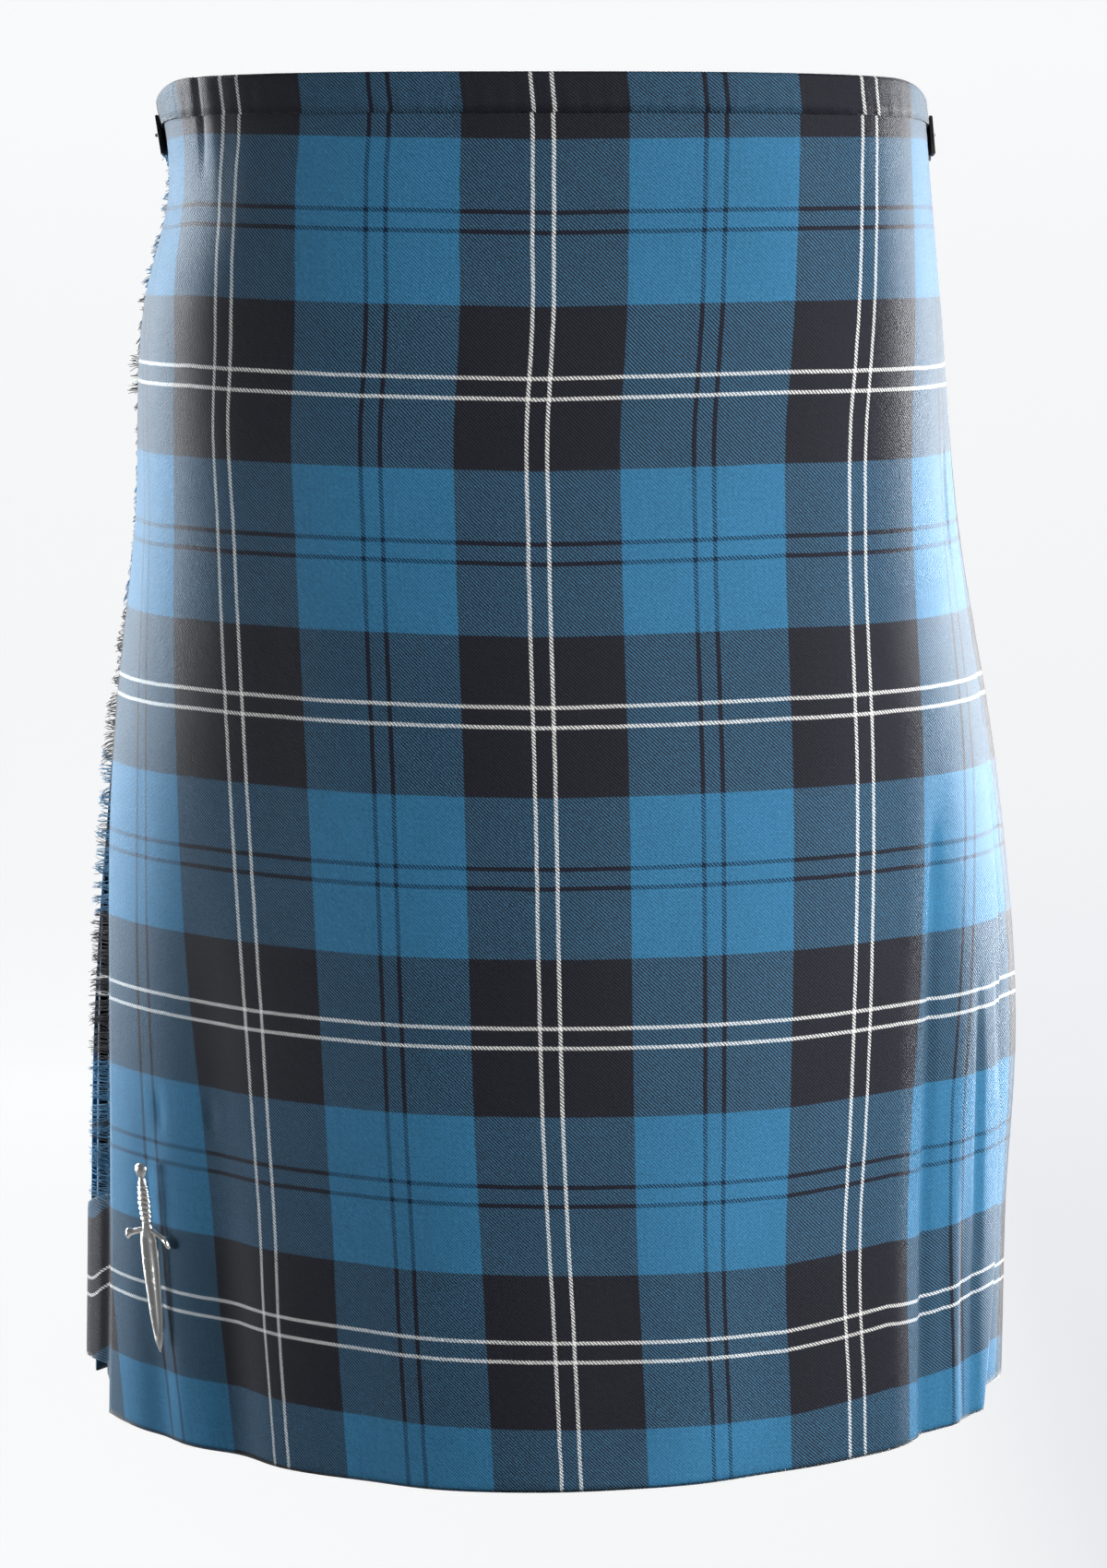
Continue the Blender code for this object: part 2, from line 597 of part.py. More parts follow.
def make_buckle(side, root, direction, look, collection):
    """A buckle's frame, one bar under the strap and the other over it, and its tongue."""
    flat = BAND_PROUD + SEAM
    hinge_out = flat + BUCKLE_WIRE
    front_out = flat + STRAP_THICK + SEAM + BUCKLE_WIRE
    front, hinge = BUCKLE_AT - BUCKLE_LENGTH / 2, BUCKLE_AT + BUCKLE_LENGTH / 2
    top, bottom = STRAP_TOP - BUCKLE_CLEAR, STRAP_TOP + STRAP_WIDTH + BUCKLE_CLEAR
    corner = 2.5
    route = [(front + corner, top), (hinge - corner, top), (hinge - 0.7, top + 0.7), (hinge, top + corner),
             (hinge, (top + bottom) / 2), (hinge, bottom - corner), (hinge - 0.7, bottom - 0.7),
             (hinge - corner, bottom), (front + corner, bottom), (front + 0.7, bottom - 0.7),
             (front, bottom - corner), (front, (top + bottom) / 2), (front, top + corner),
             (front + 0.7, top + 0.7)]
    places = []
    for along, drop in route:
        share = (along - front) / (hinge - front)
        places.append(Ring(drop).at(root + direction * along, front_out + (hinge_out - front_out) * share))
    tube(side + "_buckle", places, BUCKLE_WIRE, True, look, collection)
    middle = Ring((top + bottom) / 2)
    over_front = front_out + BUCKLE_WIRE + SEAM + TONGUE_WIRE
    strap_over_bar = flat + 2 * BUCKLE_WIRE + SEAM + STRAP_THICK + SEAM + TONGUE_WIRE
    lift = max(over_front, strap_over_bar)
    tongue = [middle.at(root + direction * along, lift) for along in spread(front - 2.0, hinge + 1.0, 4)]
    tube(side + "_buckle_tongue", tongue, TONGUE_WIRE, False, look, collection)


def make_fastenings(leather, metal, collection):
    waist = Ring(0.0)
    band_end = SEAM + 0.3
    sides = (("right", waist.free_edge() - band_end, -1), ("left", waist.fold_edge() + band_end, 1))
    chape_from = BUCKLE_AT + BUCKLE_LENGTH / 2 + BUCKLE_WIRE + SEAM
    chape = [(along, BAND_PROUD + SEAM) for along in spread(chape_from, chape_from + CHAPE_LENGTH, 4)]
    for side, root, direction in sides:
        make_slab(side + "_strap", root, direction, strap_path(), STRAP_TOP, STRAP_WIDTH, STRAP_THICK,
                  STRAP_POINT, leather, collection)
        make_slab(side + "_buckle_chape", root, direction, chape, STRAP_TOP + 3.0, STRAP_WIDTH - 6.0,
                  CHAPE_THICK, 0.0, leather, collection)
        make_buckle(side, root, direction, metal, collection)


# ---- Kilt pin ----------------------------------------------------------------------------------------------
def pin_frame():
    """The dagger's own axes: across, down its length, and out of the cloth, placed on the over apron."""
    ring, lower = Ring(PIN_DROP), Ring(PIN_DROP + 20.0)
    arc, arc_lower = ring.drift + PIN_ARC, lower.drift + PIN_ARC
    seat = ring.at(arc, relief(PIN_ARC, PIN_DROP))
    down = (lower.at(arc_lower, relief(PIN_ARC, PIN_DROP + 20.0)) - seat).normalized()
    outward = (ring.at(arc, 1.0) - ring.at(arc, 0.0)).normalized()
    outward = (outward - down * outward.dot(down)).normalized()
    outward = Matrix.Rotation(PIN_YAW, 3, down) @ outward
    down = Matrix.Rotation(PIN_LEAN, 3, outward) @ down
    across = down.cross(outward)
    frame = Matrix((across, down, outward)).transposed().to_4x4()
    frame.translation = seat + outward * PIN_STAND * MM
    middle = DAGGER[-1].along / 2
    return frame @ Matrix.Translation((0.0, -middle * MM, 0.0))


def dagger_builder(frame):
    """Pommel, grip and blade, lofted through eight-sided sections."""
    sides = 8
    loops = []
    for row in DAGGER:
        loop = []
        for side in range(sides):
            turn = 2 * math.pi * side / sides
            place = Vector((row.half_width * math.sin(turn), row.along, row.half_thick * math.cos(turn)))
            loop.append(frame @ ((place + Vector((0, 0, DAGGER_BACK))) * MM))
        loops.append(loop)
    return loft(loops)


def guard_builder(frame):
    """The cross guard: an arm to each side, drooping to the blade and thicker at its ends."""
    loops = []
    for station in range(GUARD_STATIONS):
        share = 2.0 * station / (GUARD_STATIONS - 1) - 1.0
        across = share * GUARD_SPAN / 2
        along = GUARD_AT + GUARD_DROOP * share * share
        swell = 0.75 + 0.35 * share * share
        half_height, half_thick = GUARD_HALF_HEIGHT * swell, GUARD_HALF_THICK * swell
        loop = []
        for side in range(6):
            turn = 2 * math.pi * side / 6
            place = Vector((across, along + half_height * math.cos(turn),
                            DAGGER_BACK + half_thick * math.sin(turn)))
            loop.append(frame @ (place * MM))
        loops.append(loop)
    return loft(loops)


def post_builder(frame, along):
    """A small round post from the blade's back towards the needle."""
    builder = bmesh.new()
    length = DAGGER_BACK
    place = frame @ Matrix.Translation(Vector((NEEDLE_ASIDE * 0.5, along, DAGGER_BACK - length / 2)) * MM)
    bmesh.ops.create_cone(builder, cap_ends=True, segments=8, radius1=POST_RADIUS * MM,
                          radius2=POST_RADIUS * MM, depth=length * MM, matrix=place)
    return builder


def make_pin(metal, collection, cutters):
    frame = pin_frame()
    dagger = finish(dagger_builder(frame), "kilt_pin", metal, collection)
    joined = [guard_builder(frame)] + [post_builder(frame, along) for along in POST_AT]
    for index, builder in enumerate(joined):
        tool = finish(builder, "pin_join_%d" % index, metal, cutters)
        tool.hide_render = True
        tool.display_type = "WIRE"
        union = dagger.modifiers.new(tool.name, "BOOLEAN")
        union.operation = "UNION"
        union.solver = "EXACT"
        union.object = tool
    needle = [frame @ (Vector((NEEDLE_ASIDE, along, -NEEDLE_WIRE - SEAM)) * MM)
              for along in (NEEDLE_FROM, (NEEDLE_FROM + NEEDLE_TO) / 2, NEEDLE_TO)]
    tube("kilt_pin_needle", needle, NEEDLE_WIRE, False, metal, collection)


# ---- The whole kilt ----------------------------------------------------------------------------------------
def main():
    for old in list(bpy.data.objects):
        bpy.data.objects.remove(old)
    collection = bpy.data.collections.new("scottish_kilt")
    cutters = bpy.data.collections.new("cutters")
    bpy.context.scene.collection.children.link(collection)
    bpy.context.scene.collection.children.link(cutters)
    tartan = material("tartan", (0.035, 0.110, 0.200), 0.85)
    band_cloth = material("waistband_tartan", (0.030, 0.060, 0.100), 0.85)
    thread = material("fringe_thread", (0.030, 0.080, 0.140), 0.90)
    leather = material("black_leather", (0.012, 0.011, 0.011), 0.45)
    steel = material("polished_metal", (0.62, 0.61, 0.60), 0.22, 1.0)
    make_over_apron(tartan, collection)
    make_under_apron(tartan, collection)
    make_pleats(tartan, collection)
    make_waistband(band_cloth, collection)
    make_fringe(thread, collection)
    make_fastenings(leather, steel, collection)
    make_pin(steel, collection, cutters)


main()
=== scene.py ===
"""A Scottish kilt with nobody in it: cloth, fringe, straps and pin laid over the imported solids."""
import math
from collections import namedtuple

import bmesh
import bpy
import numpy as np
from mathutils import Matrix, Vector


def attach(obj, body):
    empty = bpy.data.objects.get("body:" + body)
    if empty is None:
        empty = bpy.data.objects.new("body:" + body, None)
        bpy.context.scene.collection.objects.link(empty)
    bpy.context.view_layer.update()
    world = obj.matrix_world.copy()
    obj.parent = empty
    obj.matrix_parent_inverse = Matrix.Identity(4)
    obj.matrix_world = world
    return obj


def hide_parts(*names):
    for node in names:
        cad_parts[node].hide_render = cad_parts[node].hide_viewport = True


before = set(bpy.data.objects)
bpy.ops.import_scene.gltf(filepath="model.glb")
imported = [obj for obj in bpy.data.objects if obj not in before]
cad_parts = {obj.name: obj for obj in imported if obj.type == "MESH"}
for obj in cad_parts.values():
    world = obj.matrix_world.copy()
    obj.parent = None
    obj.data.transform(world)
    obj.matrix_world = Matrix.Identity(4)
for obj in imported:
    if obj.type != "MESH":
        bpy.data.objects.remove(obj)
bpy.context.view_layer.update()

MM = 0.001
WELD = 1e-6  # metres


def table(row_type, *rows):
    return tuple(row_type(*row) for row in rows)


# ---- The form, as in the part's source (mm) ----
CLOTH = 1.2
LENGTH = 610.0
BAND_HEIGHT = 17.0
BAND_CLOTH = 1.0
SEAM = 0.3
BAND_PROUD = SEAM + BAND_CLOTH
PANEL_TOP = 1.6
UNDER_SHORT = 12.0
TOP_HEIGHT = BAND_HEIGHT / 2

Section = namedtuple("Section", "drop half_width front_depth back_depth front_square back_square"
                     " sway drift rise free fold")
FORM = table(
    Section,
    (0, 169.5, 133, 115, 0.05, 0.03, -5.5, 2.5, -8, -228, 226),
    (45, 169.2, 130.5, 123, 0.048, 0.03, -1.6, 2, -5, -232, 228),
    (100, 177.6, 128, 136, 0.045, 0.03, -4.9, 1.5, -2, -236, 231),
    (200, 184.8, 138, 163, 0.025, 0.02, -3, -1.5, 0, -244, 235),
    (310, 201, 144, 174, 0.005, 0.01, -1, -1.5, 1, -239, 237),
    (420, 210.2, 147, 178, -0.02, 0, 0.2, 0.5, 3.5, -234.5, 237),
    (520, 209.5, 145, 183, -0.03, 0, -3, 8, 7, -237, 237),
    (610, 209.5, 142, 188, -0.04, 0, -4, 13, 12, -243, 222),
)
RISE_REACH = 250.0
CORNER_DIP, CORNER_FROM, CORNER_TO = 5.0, 165.0, 235.0
CORNER_BELOW = BAND_HEIGHT + 3.0

TURN_UNDER, TURN_GAP = 24.0, 0.5
END_UNDER = 4.0
LAYER_AT_BAND, LAYER_BELOW, LAYER_EASED = 4.1, 2.1, 70.0
UNDER_FROM_FOLD = 36.5  # how far inside the over apron's fold the under apron ends

PLEATS = 26
HIDDEN_SHARE = 0.30
START_UNDER, START_DEPTH = 8.0, 7.0
PLEATS_BAND_DEPTH, PLEATS_BAND_AT_ENDS = 6.0, 8.0
PLEATS_BAND_ENDS = (40.0, 100.0)
PLEAT_EASE, UNDER_FRINGE, SINK_AT_FRINGE, SINK_AT_FOLD = 75.0, 32.0, 3.0, 0.8
Pleating = namedtuple("Pleating", "drop depth stand")
PLEATING = table(
    Pleating,
    (0, 2.4, -1.2),
    (20, 2.4, -1.1),
    (60, 3.2, 0.2),
    (210, 4.2, 1.6),
    (420, 5.4, 3),
    (610, 7.2, 5),
)

# Marks in the aprons: where each starts and ends, its depth and half its width. Hanging folds are
# soft troughs that deepen all the way down.
Mark = namedtuple("Mark", "arc_top arc_low drop_top drop_low depth half_width")
HANGING = table(
    Mark,
    (-166, -161, 300, LENGTH, 6, 17),
    (-207, -204, 420, LENGTH, 2.2, 10),
    (-84, -92, 430, LENGTH, 2, 22),
    (96, 88, 400, LENGTH, 2.4, 24),
    (188, 183, 230, LENGTH, 4.5, 12),
    (213, 210, 380, LENGTH, 2.5, 8),
)

# Creases are finer, and fade out at both ends. Those with a negative depth are ridges.
CREASES = table(
    Mark,
    (186, 178, 320, 660, 2.8, 3.2),
    (216, 218, 398, 545, 1.7, 2.4),
    (233.5, 235.5, 395, 462, 1.8, 2.6),
    (193.5, 192.5, 500, 625, 0.8, 1.7),
    (206, 204.5, 498, 620, 0.9, 1.9),
    (215, 214.3, 505, 620, 0.7, 1.7),
    (213, 212.6, 160, 214, 1.3, 2),
    (-158, -165.5, -25, 44, 1.7, 1.9),
    (-152, -156, -20, 60, -0.9, 5),
    (-197, -197, 448, 468, 0.8, 3),
    (-167, -167, 447, 465, 0.9, 3),
    (-60, -62, 300, 700, -2.4, 30),
    (-118, -121, 60, 380, 1.4, 16),
    (18, 26, 430, 700, 1.3, 24),
    (128, 124, 60, 420, -1.2, 18),
    (160, 152, 380, 700, -1.6, 14),
)

# ---- The tartan (mm on the cloth) ----
REPEAT = 142.0
WEFT_START = 133.1  # drop of the first white pair's middle
WEFT_EASE = 0.975  # drop per millimetre of warp
TWILL = 1.6  # one twill repeat

# How far the warp has crept sideways at some lines of the check, to the wearer's right if positive.
Creep = namedtuple("Creep", "drop far_left border_left left middle right border_right far_right")
CREEP_LINES = (-213.0, -177.5, -142.0, 0.0, 142.0, 177.5, 213.0)
CREEP = table(
    Creep,
    (0, -0.2, 2.6, -2, 2.6, -2.3, -2.2, -2.9),
    (20, 0.3, 4.2, 0, 3.5, -2, -1.9, -2),
    (45, 2, 7.7, 4.7, 4.8, 0.2, 0, -0.1),
    (70, 0.9, 5.5, 4, 3.6, -0.3, -0.3, 0.3),
    (95, -1.2, 0, 1.6, 1.2, -1.3, -0.9, 0.3),
    (120, -2.4, -3.2, 1.1, 1.2, -0.5, -0.1, 1.1),
    (150, -2.5, -1.3, 2.9, 2.4, 1.5, 1.4, 2),
    (200, -5, 1, 1.6, 1.8, 1.2, 0.9, 1.3),
    (300, -11, -1.3, -1.8, 0.9, -1.6, -1.1, -0.7),
    (400, -8.9, -2.3, -4, 1.7, -0.1, 1.5, 7.5),
    (460, -9.5, -5.9, -4.9, 2.2, 2.9, 8, 12.4),
    (500, -10.4, -7.9, -5.6, 1.9, 6.1, 10.6, 12.2),
    (540, -12.1, -8.6, -4.8, 1.3, 6.7, 11.2, 11.6),
    (575, -15.5, -10.4, -5.3, 1.2, 5.3, 10.2, 10.9),
    (610, -19.1, -12.3, -6.1, 1.1, 5.2, 10.2, 11),
)

# How far the weft has crept up at a few warp yarns across the over apron.
Slip = namedtuple("Slip", "drop far_left left mid_left middle mid_right right far_right at_fold")
SLIP_LINES = (-195.0, -163.0, -80.0, 0.0, 105.0, 163.0, 190.0, 235.0)
SLIPS = table(
    Slip,
    (0, 4.3, 4.5, 1.6, 0.5, 1.6, 2.6, 3.6, 3.6),
    (60, 3, 4.6, 2, 0.4, 2.2, 3.1, 3.5, 3.5),
    (122, 3.3, 3.6, 0.9, -0.5, 2, 2, 1.8, 1.8),
    (184, 2, 2.4, 1, -0.9, 1.7, 1.4, 1.5, 1.5),
    (318, 1.6, 1.9, 0.1, -0.8, 0.9, 1.2, 0.9, 0.9),
    (430, 2.3, 1.5, 0.6, 0.3, -0.2, 1.2, 0.4, 0.4),
    (478, 3.2, 2.5, 1.5, 0.2, -0.9, 1.9, 1, 1),
    (551, 5.2, 4.7, 2.1, 0.6, -1.9, 2.3, -0.4, 3.4),
    (610, 4.5, 4.8, 2, 0.4, -2.1, 2, 0.2, 1.6),
)


def eased(rows, column, at):
    """A column of a table at any drop, on a smooth curve through its rows."""
    drops = [row.drop for row in rows]
    values = [getattr(row, column) for row in rows]
    slopes = np.gradient(values, drops)
    low = int(np.clip(np.searchsorted(drops, at) - 1, 0, len(drops) - 2))
    span = drops[low + 1] - drops[low]
    t = min(max((at - drops[low]) / span, 0.0), 1.0)
    a, b = values[low], values[low + 1]
    ma, mb = slopes[low] * span, slopes[low + 1] * span
    return ((2 * t**3 - 3 * t**2 + 1) * a + (t**3 - 2 * t**2 + t) * ma
            + (3 * t**2 - 2 * t**3) * b + (t**3 - t**2) * mb)


def eased_row(rows, at):
    return [eased(rows, column, at) for column in rows[0]._fields[1:]]


def smoothstep(low, high, value):
    t = np.clip((np.asarray(value, float) - low) / (high - low), 0.0, 1.0)
    return t * t * (3.0 - 2.0 * t)


class Ring:
    """A level section of the form, measured along its own arc."""

    STEPS = 1440

    def __init__(self, drop):
        self.drop = drop
        (half_width, front_depth, back_depth, front_square, back_square, sway,
         self.drift, self.rise, free, self.fold) = eased_row(FORM, drop)
        self.free_edge, self.fold_edge = self.drift + free, self.drift + self.fold
        self.corner = CORNER_DIP * (1.0 - smoothstep(0.0, CORNER_BELOW, drop))
        angles = np.linspace(-math.pi, math.pi, self.STEPS + 1)
        front = np.abs(angles) <= math.pi / 2
        square = np.where(front, front_square, back_square)
        depth = np.where(front, front_depth, back_depth)
        swell = 1.0 - square
        x = half_width * (np.sin(angles) + square * np.sin(3 * angles)) / swell + sway
        y = -depth * (np.cos(angles) - square * np.cos(3 * angles)) / swell
        steps = np.hypot(np.diff(x), np.diff(y))
        arcs = np.concatenate(([0.0], np.cumsum(steps)))
        self.arcs = arcs - arcs[self.STEPS // 2]
        self.x, self.y = x, y
        self.half = (self.arcs[-1] - self.arcs[0]) / 2
        along_x, along_y = np.gradient(x, self.arcs), np.gradient(y, self.arcs)
        size = np.hypot(along_x, along_y)
        self.normal_x, self.normal_y = along_y / size, -along_x / size

    def at(self, arc, out):
        """Places in metres at arcs along the level, each so far out from the form."""
        arc, out = np.broadcast_arrays(np.asarray(arc, float), np.asarray(out, float))
        around = 2 * self.half
        arc = (arc - self.arcs[0]) % around + self.arcs[0]
        x, y, nx, ny = (np.interp(arc, self.arcs, values)
                        for values in (self.x, self.y, self.normal_x, self.normal_y))
        height = TOP_HEIGHT - self.drop
        height = height + self.rise * np.minimum(np.abs(arc) / RISE_REACH, 1.0) ** 3
        height = height - self.corner * smoothstep(CORNER_FROM, CORNER_TO, np.abs(arc))
        return np.stack((x + nx * out, y + ny * out, height), -1) * MM

    def pleats_end(self):
        """Once round the back the pleated strip ends under the over apron's free edge."""
        return self.free_edge + END_UNDER + 2 * self.half

    def pleat_width(self):
        return (self.pleats_end() - self.fold_edge) / (PLEATS + 1)


RINGS = {}


def ring_at(drop):
    key = round(float(drop), 3)
    if key not in RINGS:
        RINGS[key] = Ring(key)
    return RINGS[key]


def relief(marks, fade, arc, drop):
    """How far marks push the cloth in at places along one level."""
    arc = np.asarray(arc, float)
    out = np.zeros_like(arc)
    for mark in marks:
        share = (drop - mark.drop_top) / (mark.drop_low - mark.drop_top)
        centre = mark.arc_top + (mark.arc_low - mark.arc_top) * share
        across = (arc - centre) / mark.half_width
        out -= mark.depth * fade(share) * np.exp(-across * across)
    return out


def fold_relief(arc, drop):
    return relief(HANGING, lambda share: smoothstep(0.0, 1.0, share), arc, drop)


def crease_fade(share):
    return math.sin(math.pi * share) ** 0.7 if 0.0 < share < 1.0 else 0.0


def crease_relief(arc, drop):
    return relief(CREASES, crease_fade, arc, drop)


def front_relief(arc, drop):
    return fold_relief(arc, drop) + crease_relief(arc, drop)


def under_layer(drop):
    """How deep the under apron's face lies behind the over apron's."""
    below = smoothstep(BAND_HEIGHT, LAYER_EASED, drop)
    return LAYER_AT_BAND + (LAYER_BELOW - LAYER_AT_BAND) * below


def weft_of(drop):
    """Place along the warp, in the check's own millimetres, at a drop."""
    return (drop - WEFT_START) / WEFT_EASE


def weft_slip(across, drop):
    return np.interp(across, SLIP_LINES, eased_row(SLIPS, drop))


def warp_of(place, drop):
    """The warp yarn that lies at a place, measured from the over apron's centre line."""
    creep, lines = np.array(eased_row(CREEP, drop)), np.array(CREEP_LINES)
    seen_at = lines - creep
    place = np.asarray(place, float)
    inside = np.interp(place, seen_at, lines)
    beyond = np.where(place < seen_at[0], place + creep[0], place + creep[-1])
    return np.where((place < seen_at[0]) | (place > seen_at[-1]), beyond, inside)


# ---- Meshes ----
def new_object(name, data):
    made = bpy.data.objects.new(name, data)
    bpy.context.scene.collection.objects.link(made)
    return made


def smooth_object(name, mesh, look):
    mesh.polygons.foreach_set("use_smooth", [True] * len(mesh.polygons))
    mesh.materials.append(look)
    return new_object(name, mesh)


def new_piece(name, vertices, faces, look, cloth=None):
    """A smooth piece that rides on the garment, with its cloth coordinates if it has any."""
    mesh = bpy.data.meshes.new(name)
    mesh.from_pydata([tuple(v) for v in vertices], [], [tuple(f) for f in faces])
    if cloth is not None:
        layer = mesh.attributes.new("cloth", "FLOAT_VECTOR", "POINT")
        layer.data.foreach_set("vector", np.asarray(cloth, np.float32).ravel())
    mesh.validate()
    builder = bmesh.new()
    builder.from_mesh(mesh)
    bmesh.ops.remove_doubles(builder, verts=builder.verts, dist=WELD)
    bmesh.ops.recalc_face_normals(builder, faces=builder.faces)
    builder.to_mesh(mesh)
    builder.free()
    piece = smooth_object(name, mesh, look)
    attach(piece, "root")
    return piece


def skin_faces(rows, loop, base):
    """The faces between closed rows of points, the first of which starts at base."""
    faces = []
    for row in range(rows - 1):
        above, below = base + row * loop, base + (row + 1) * loop
        for index in range(loop):
            after = (index + 1) % loop
            faces.append((above + index, above + after, below + after, below + index))
    return faces


def loft(name, places, cloth, look):
    """A closed wall from rows of (outer points, inner points) and of cloth coordinates."""
    rows, half = len(places), len(places[0][0])
    loop = 2 * half
    vertices = np.concatenate([np.concatenate((outer, inner[::-1])) for outer, inner in places])
    values = np.concatenate([np.concatenate((row, row[::-1])) for row in cloth])
    faces = skin_faces(rows, loop, 0)
    for base in (0, (rows - 1) * loop):
        last = base + loop - 1
        for index in range(half - 1):
            faces.append((base + index, base + index + 1, last - index - 1, last - index))
    return new_piece(name, vertices, faces, look, values)


def cloth_row(across, drop, slip=0.0):
    """Cloth coordinates of one level row: along the weft, along the warp, and the drop."""
    across = np.asarray(across, float)
    along = np.full_like(across, weft_of(drop)) + slip
    return np.stack((across, along, np.full_like(across, drop)), -1)


# ---- Node graphs ----
class Graph:
    """Builds a material from short expressions."""

    def __init__(self, name):
        self.material = bpy.data.materials.new(name)
        self.material.use_nodes = True
        self.tree = self.material.node_tree
        self.shader = self.tree.nodes["Principled BSDF"]

    def node(self, kind, **settings):
        made = self.tree.nodes.new(kind)
        for key, value in settings.items():
            setattr(made, key, value)
        return made

    def feed(self, socket, value):
        """Sets a socket to a number or a colour, or links it to another node's output."""
        if isinstance(value, (int, float)):
            socket.default_value = value
        elif isinstance(value, tuple):
            opaque = len(socket.default_value) == 4 and len(value) == 3
            socket.default_value = (*value, 1.0) if opaque else value
        else:
            self.tree.links.new(value, socket)

    def feed_named(self, node, inputs):
        for key, value in inputs.items():
            self.feed(node.inputs[key.replace("_", " ")], value)

    def output(self, kind, values, **settings):
        """The first output of a new node whose inputs are fed in order."""
        made = self.node(kind, **settings)
        for socket, value in zip(made.inputs, values):
            self.feed(socket, value)
        return made.outputs[0]

    def texture(self, kind, outlet, **inputs):
        """One output of a new texture or bump whose inputs are fed by name."""
        made = self.node(kind)
        self.feed_named(made, inputs)
        return made.outputs[outlet]

    def math(self, operation, *values):
        return self.output("ShaderNodeMath", values, operation=operation)

    def add(self, total, *others):
        for value in others:
            total = self.math("ADD", total, value)
        return total

    def sub(self, a, b):
        return self.math("SUBTRACT", a, b)

    def mul(self, a, b):
        return self.math("MULTIPLY", a, b)

    def ramp(self, value, low, high, to_low=0.0, to_high=1.0):
        return self.output("ShaderNodeMapRange", (value, low, high, to_low, to_high),
                           interpolation_type="SMOOTHSTEP")

    def mix(self, share, a, b):
        made = self.node("ShaderNodeMix", data_type="RGBA")
        self.feed(made.inputs[0], share)
        self.feed(made.inputs[6], a)
        self.feed(made.inputs[7], b)
        return made.outputs[2]

    def tint(self, colour, by):
        return self.output("ShaderNodeVectorMath", (colour, by), operation="MULTIPLY")

    def shaded(self, colour, by):
        made = self.node("ShaderNodeVectorMath", operation="SCALE")
        self.feed(made.inputs[0], colour)
        self.feed(made.inputs["Scale"], by)
        return made.outputs[0]

    def away_from(self, value, middle):
        return self.math("ABSOLUTE", self.sub(value, middle))

    def wave(self, value, length):
        """A sine along a value that repeats every so many units."""
        return self.math("SINE", self.mul(value, math.tau / length))

    def noise(self, where, scale, detail=2.0, roughness=0.5):
        return self.texture("ShaderNodeTexNoise", "Fac", Vector=where, Scale=scale, Detail=detail,
                            Roughness=roughness)

    def vector(self, x, y, z=0.0):
        return self.output("ShaderNodeCombineXYZ", (x, y, z))

    def split(self, vector):
        made = self.node("ShaderNodeSeparateXYZ")
        self.feed(made.inputs[0], vector)
        return made.outputs

    def bump(self, height, strength, distance):
        return self.texture("ShaderNodeBump", 0, Height=height, Strength=strength,
                            Distance=distance)

    def finish(self, **inputs):
        """Wires up the shader, with constants set on its own sockets."""
        self.feed_named(self.shader, inputs)
        return self.material


BLACK = (0.0115, 0.0118, 0.0172)
BLUE = (0.025, 0.118, 0.222)
NAVY = (0.004, 0.013, 0.030)
WHITE = (0.60, 0.60, 0.59)
UNCHANGED = (1.0, 1.0, 1.0)
MIXED_TINT = (1.18, 0.86, 0.79)  # blue crossed with black looks darker and greyer than either

# The check mirrors about its white pair, so its stripes are placed in half a repeat (mm), each
# with an edge that fades between two distances.
BLUE_EDGE = (34.9, 35.6)
NAVY_AT, NAVY_EDGE = 66.7, (0.75, 1.20)
WHITE_AT, WHITE_EDGE = 4.4, (0.50, 1.10)

TWILL_EDGE = 0.30  # how sharply warp and weft take turns on the face
LEAST_SHARE, LEAST_WHITE = 0.04, 0.14  # what shows of the yarns that lie beneath
CROSS_RIB = 0.8  # spacing of the fine ribs across the twill
STREAK = 0.04  # a streak runs 1 / STREAK times as long as it is wide
SHADE_BASE = 0.03  # with the means of the noises below, about 1 in all
SELVEDGE_FROM, SELVEDGE_TO, SELVEDGE_SHADE = LENGTH - 1.5, LENGTH - 0.9, 0.30


def cloth_axes(graph):
    """Along the weft, along the warp, and the drop, all in millimetres."""
    stored = graph.node("ShaderNodeAttribute", attribute_name="cloth")
    return graph.split(stored.outputs["Vector"])


def yarn_masks(graph, place):
    """How blue, how navy and how white the yarn at a place in the repeat is."""
    fold = graph.math("PINGPONG", place, REPEAT / 2)
    blue = graph.ramp(fold, *BLUE_EDGE)
    navy = graph.ramp(graph.away_from(fold, NAVY_AT), *NAVY_EDGE, 1.0, 0.0)
    white = graph.ramp(graph.away_from(fold, WHITE_AT), *WHITE_EDGE, 1.0, 0.0)
    return blue, navy, white


def ground_colour(graph, blue, navy):
    return graph.mix(navy, graph.mix(blue, BLACK, BLUE), NAVY)


def unevenness(graph, where, scale, size):
    return graph.mul(graph.sub(graph.noise(where, scale), 0.5), size)


def yarn_shade(graph, u, v, slub):
    """Lighter and darker yarns, thick places in them, and broad uneven dyeing."""
    warp_streak = graph.noise(graph.vector(u, graph.mul(v, STREAK)), 1.1, 2.0, 0.6)
    weft_streak = graph.noise(graph.vector(graph.mul(u, STREAK), v), 1.1, 2.0, 0.6)
    dye = graph.noise(graph.vector(u, v), 0.012, 3.0, 0.55)
    return graph.add(graph.mul(warp_streak, 0.30), graph.mul(weft_streak, 0.24),
                     graph.mul(slub, 1.10), graph.mul(dye, 0.30), SHADE_BASE)


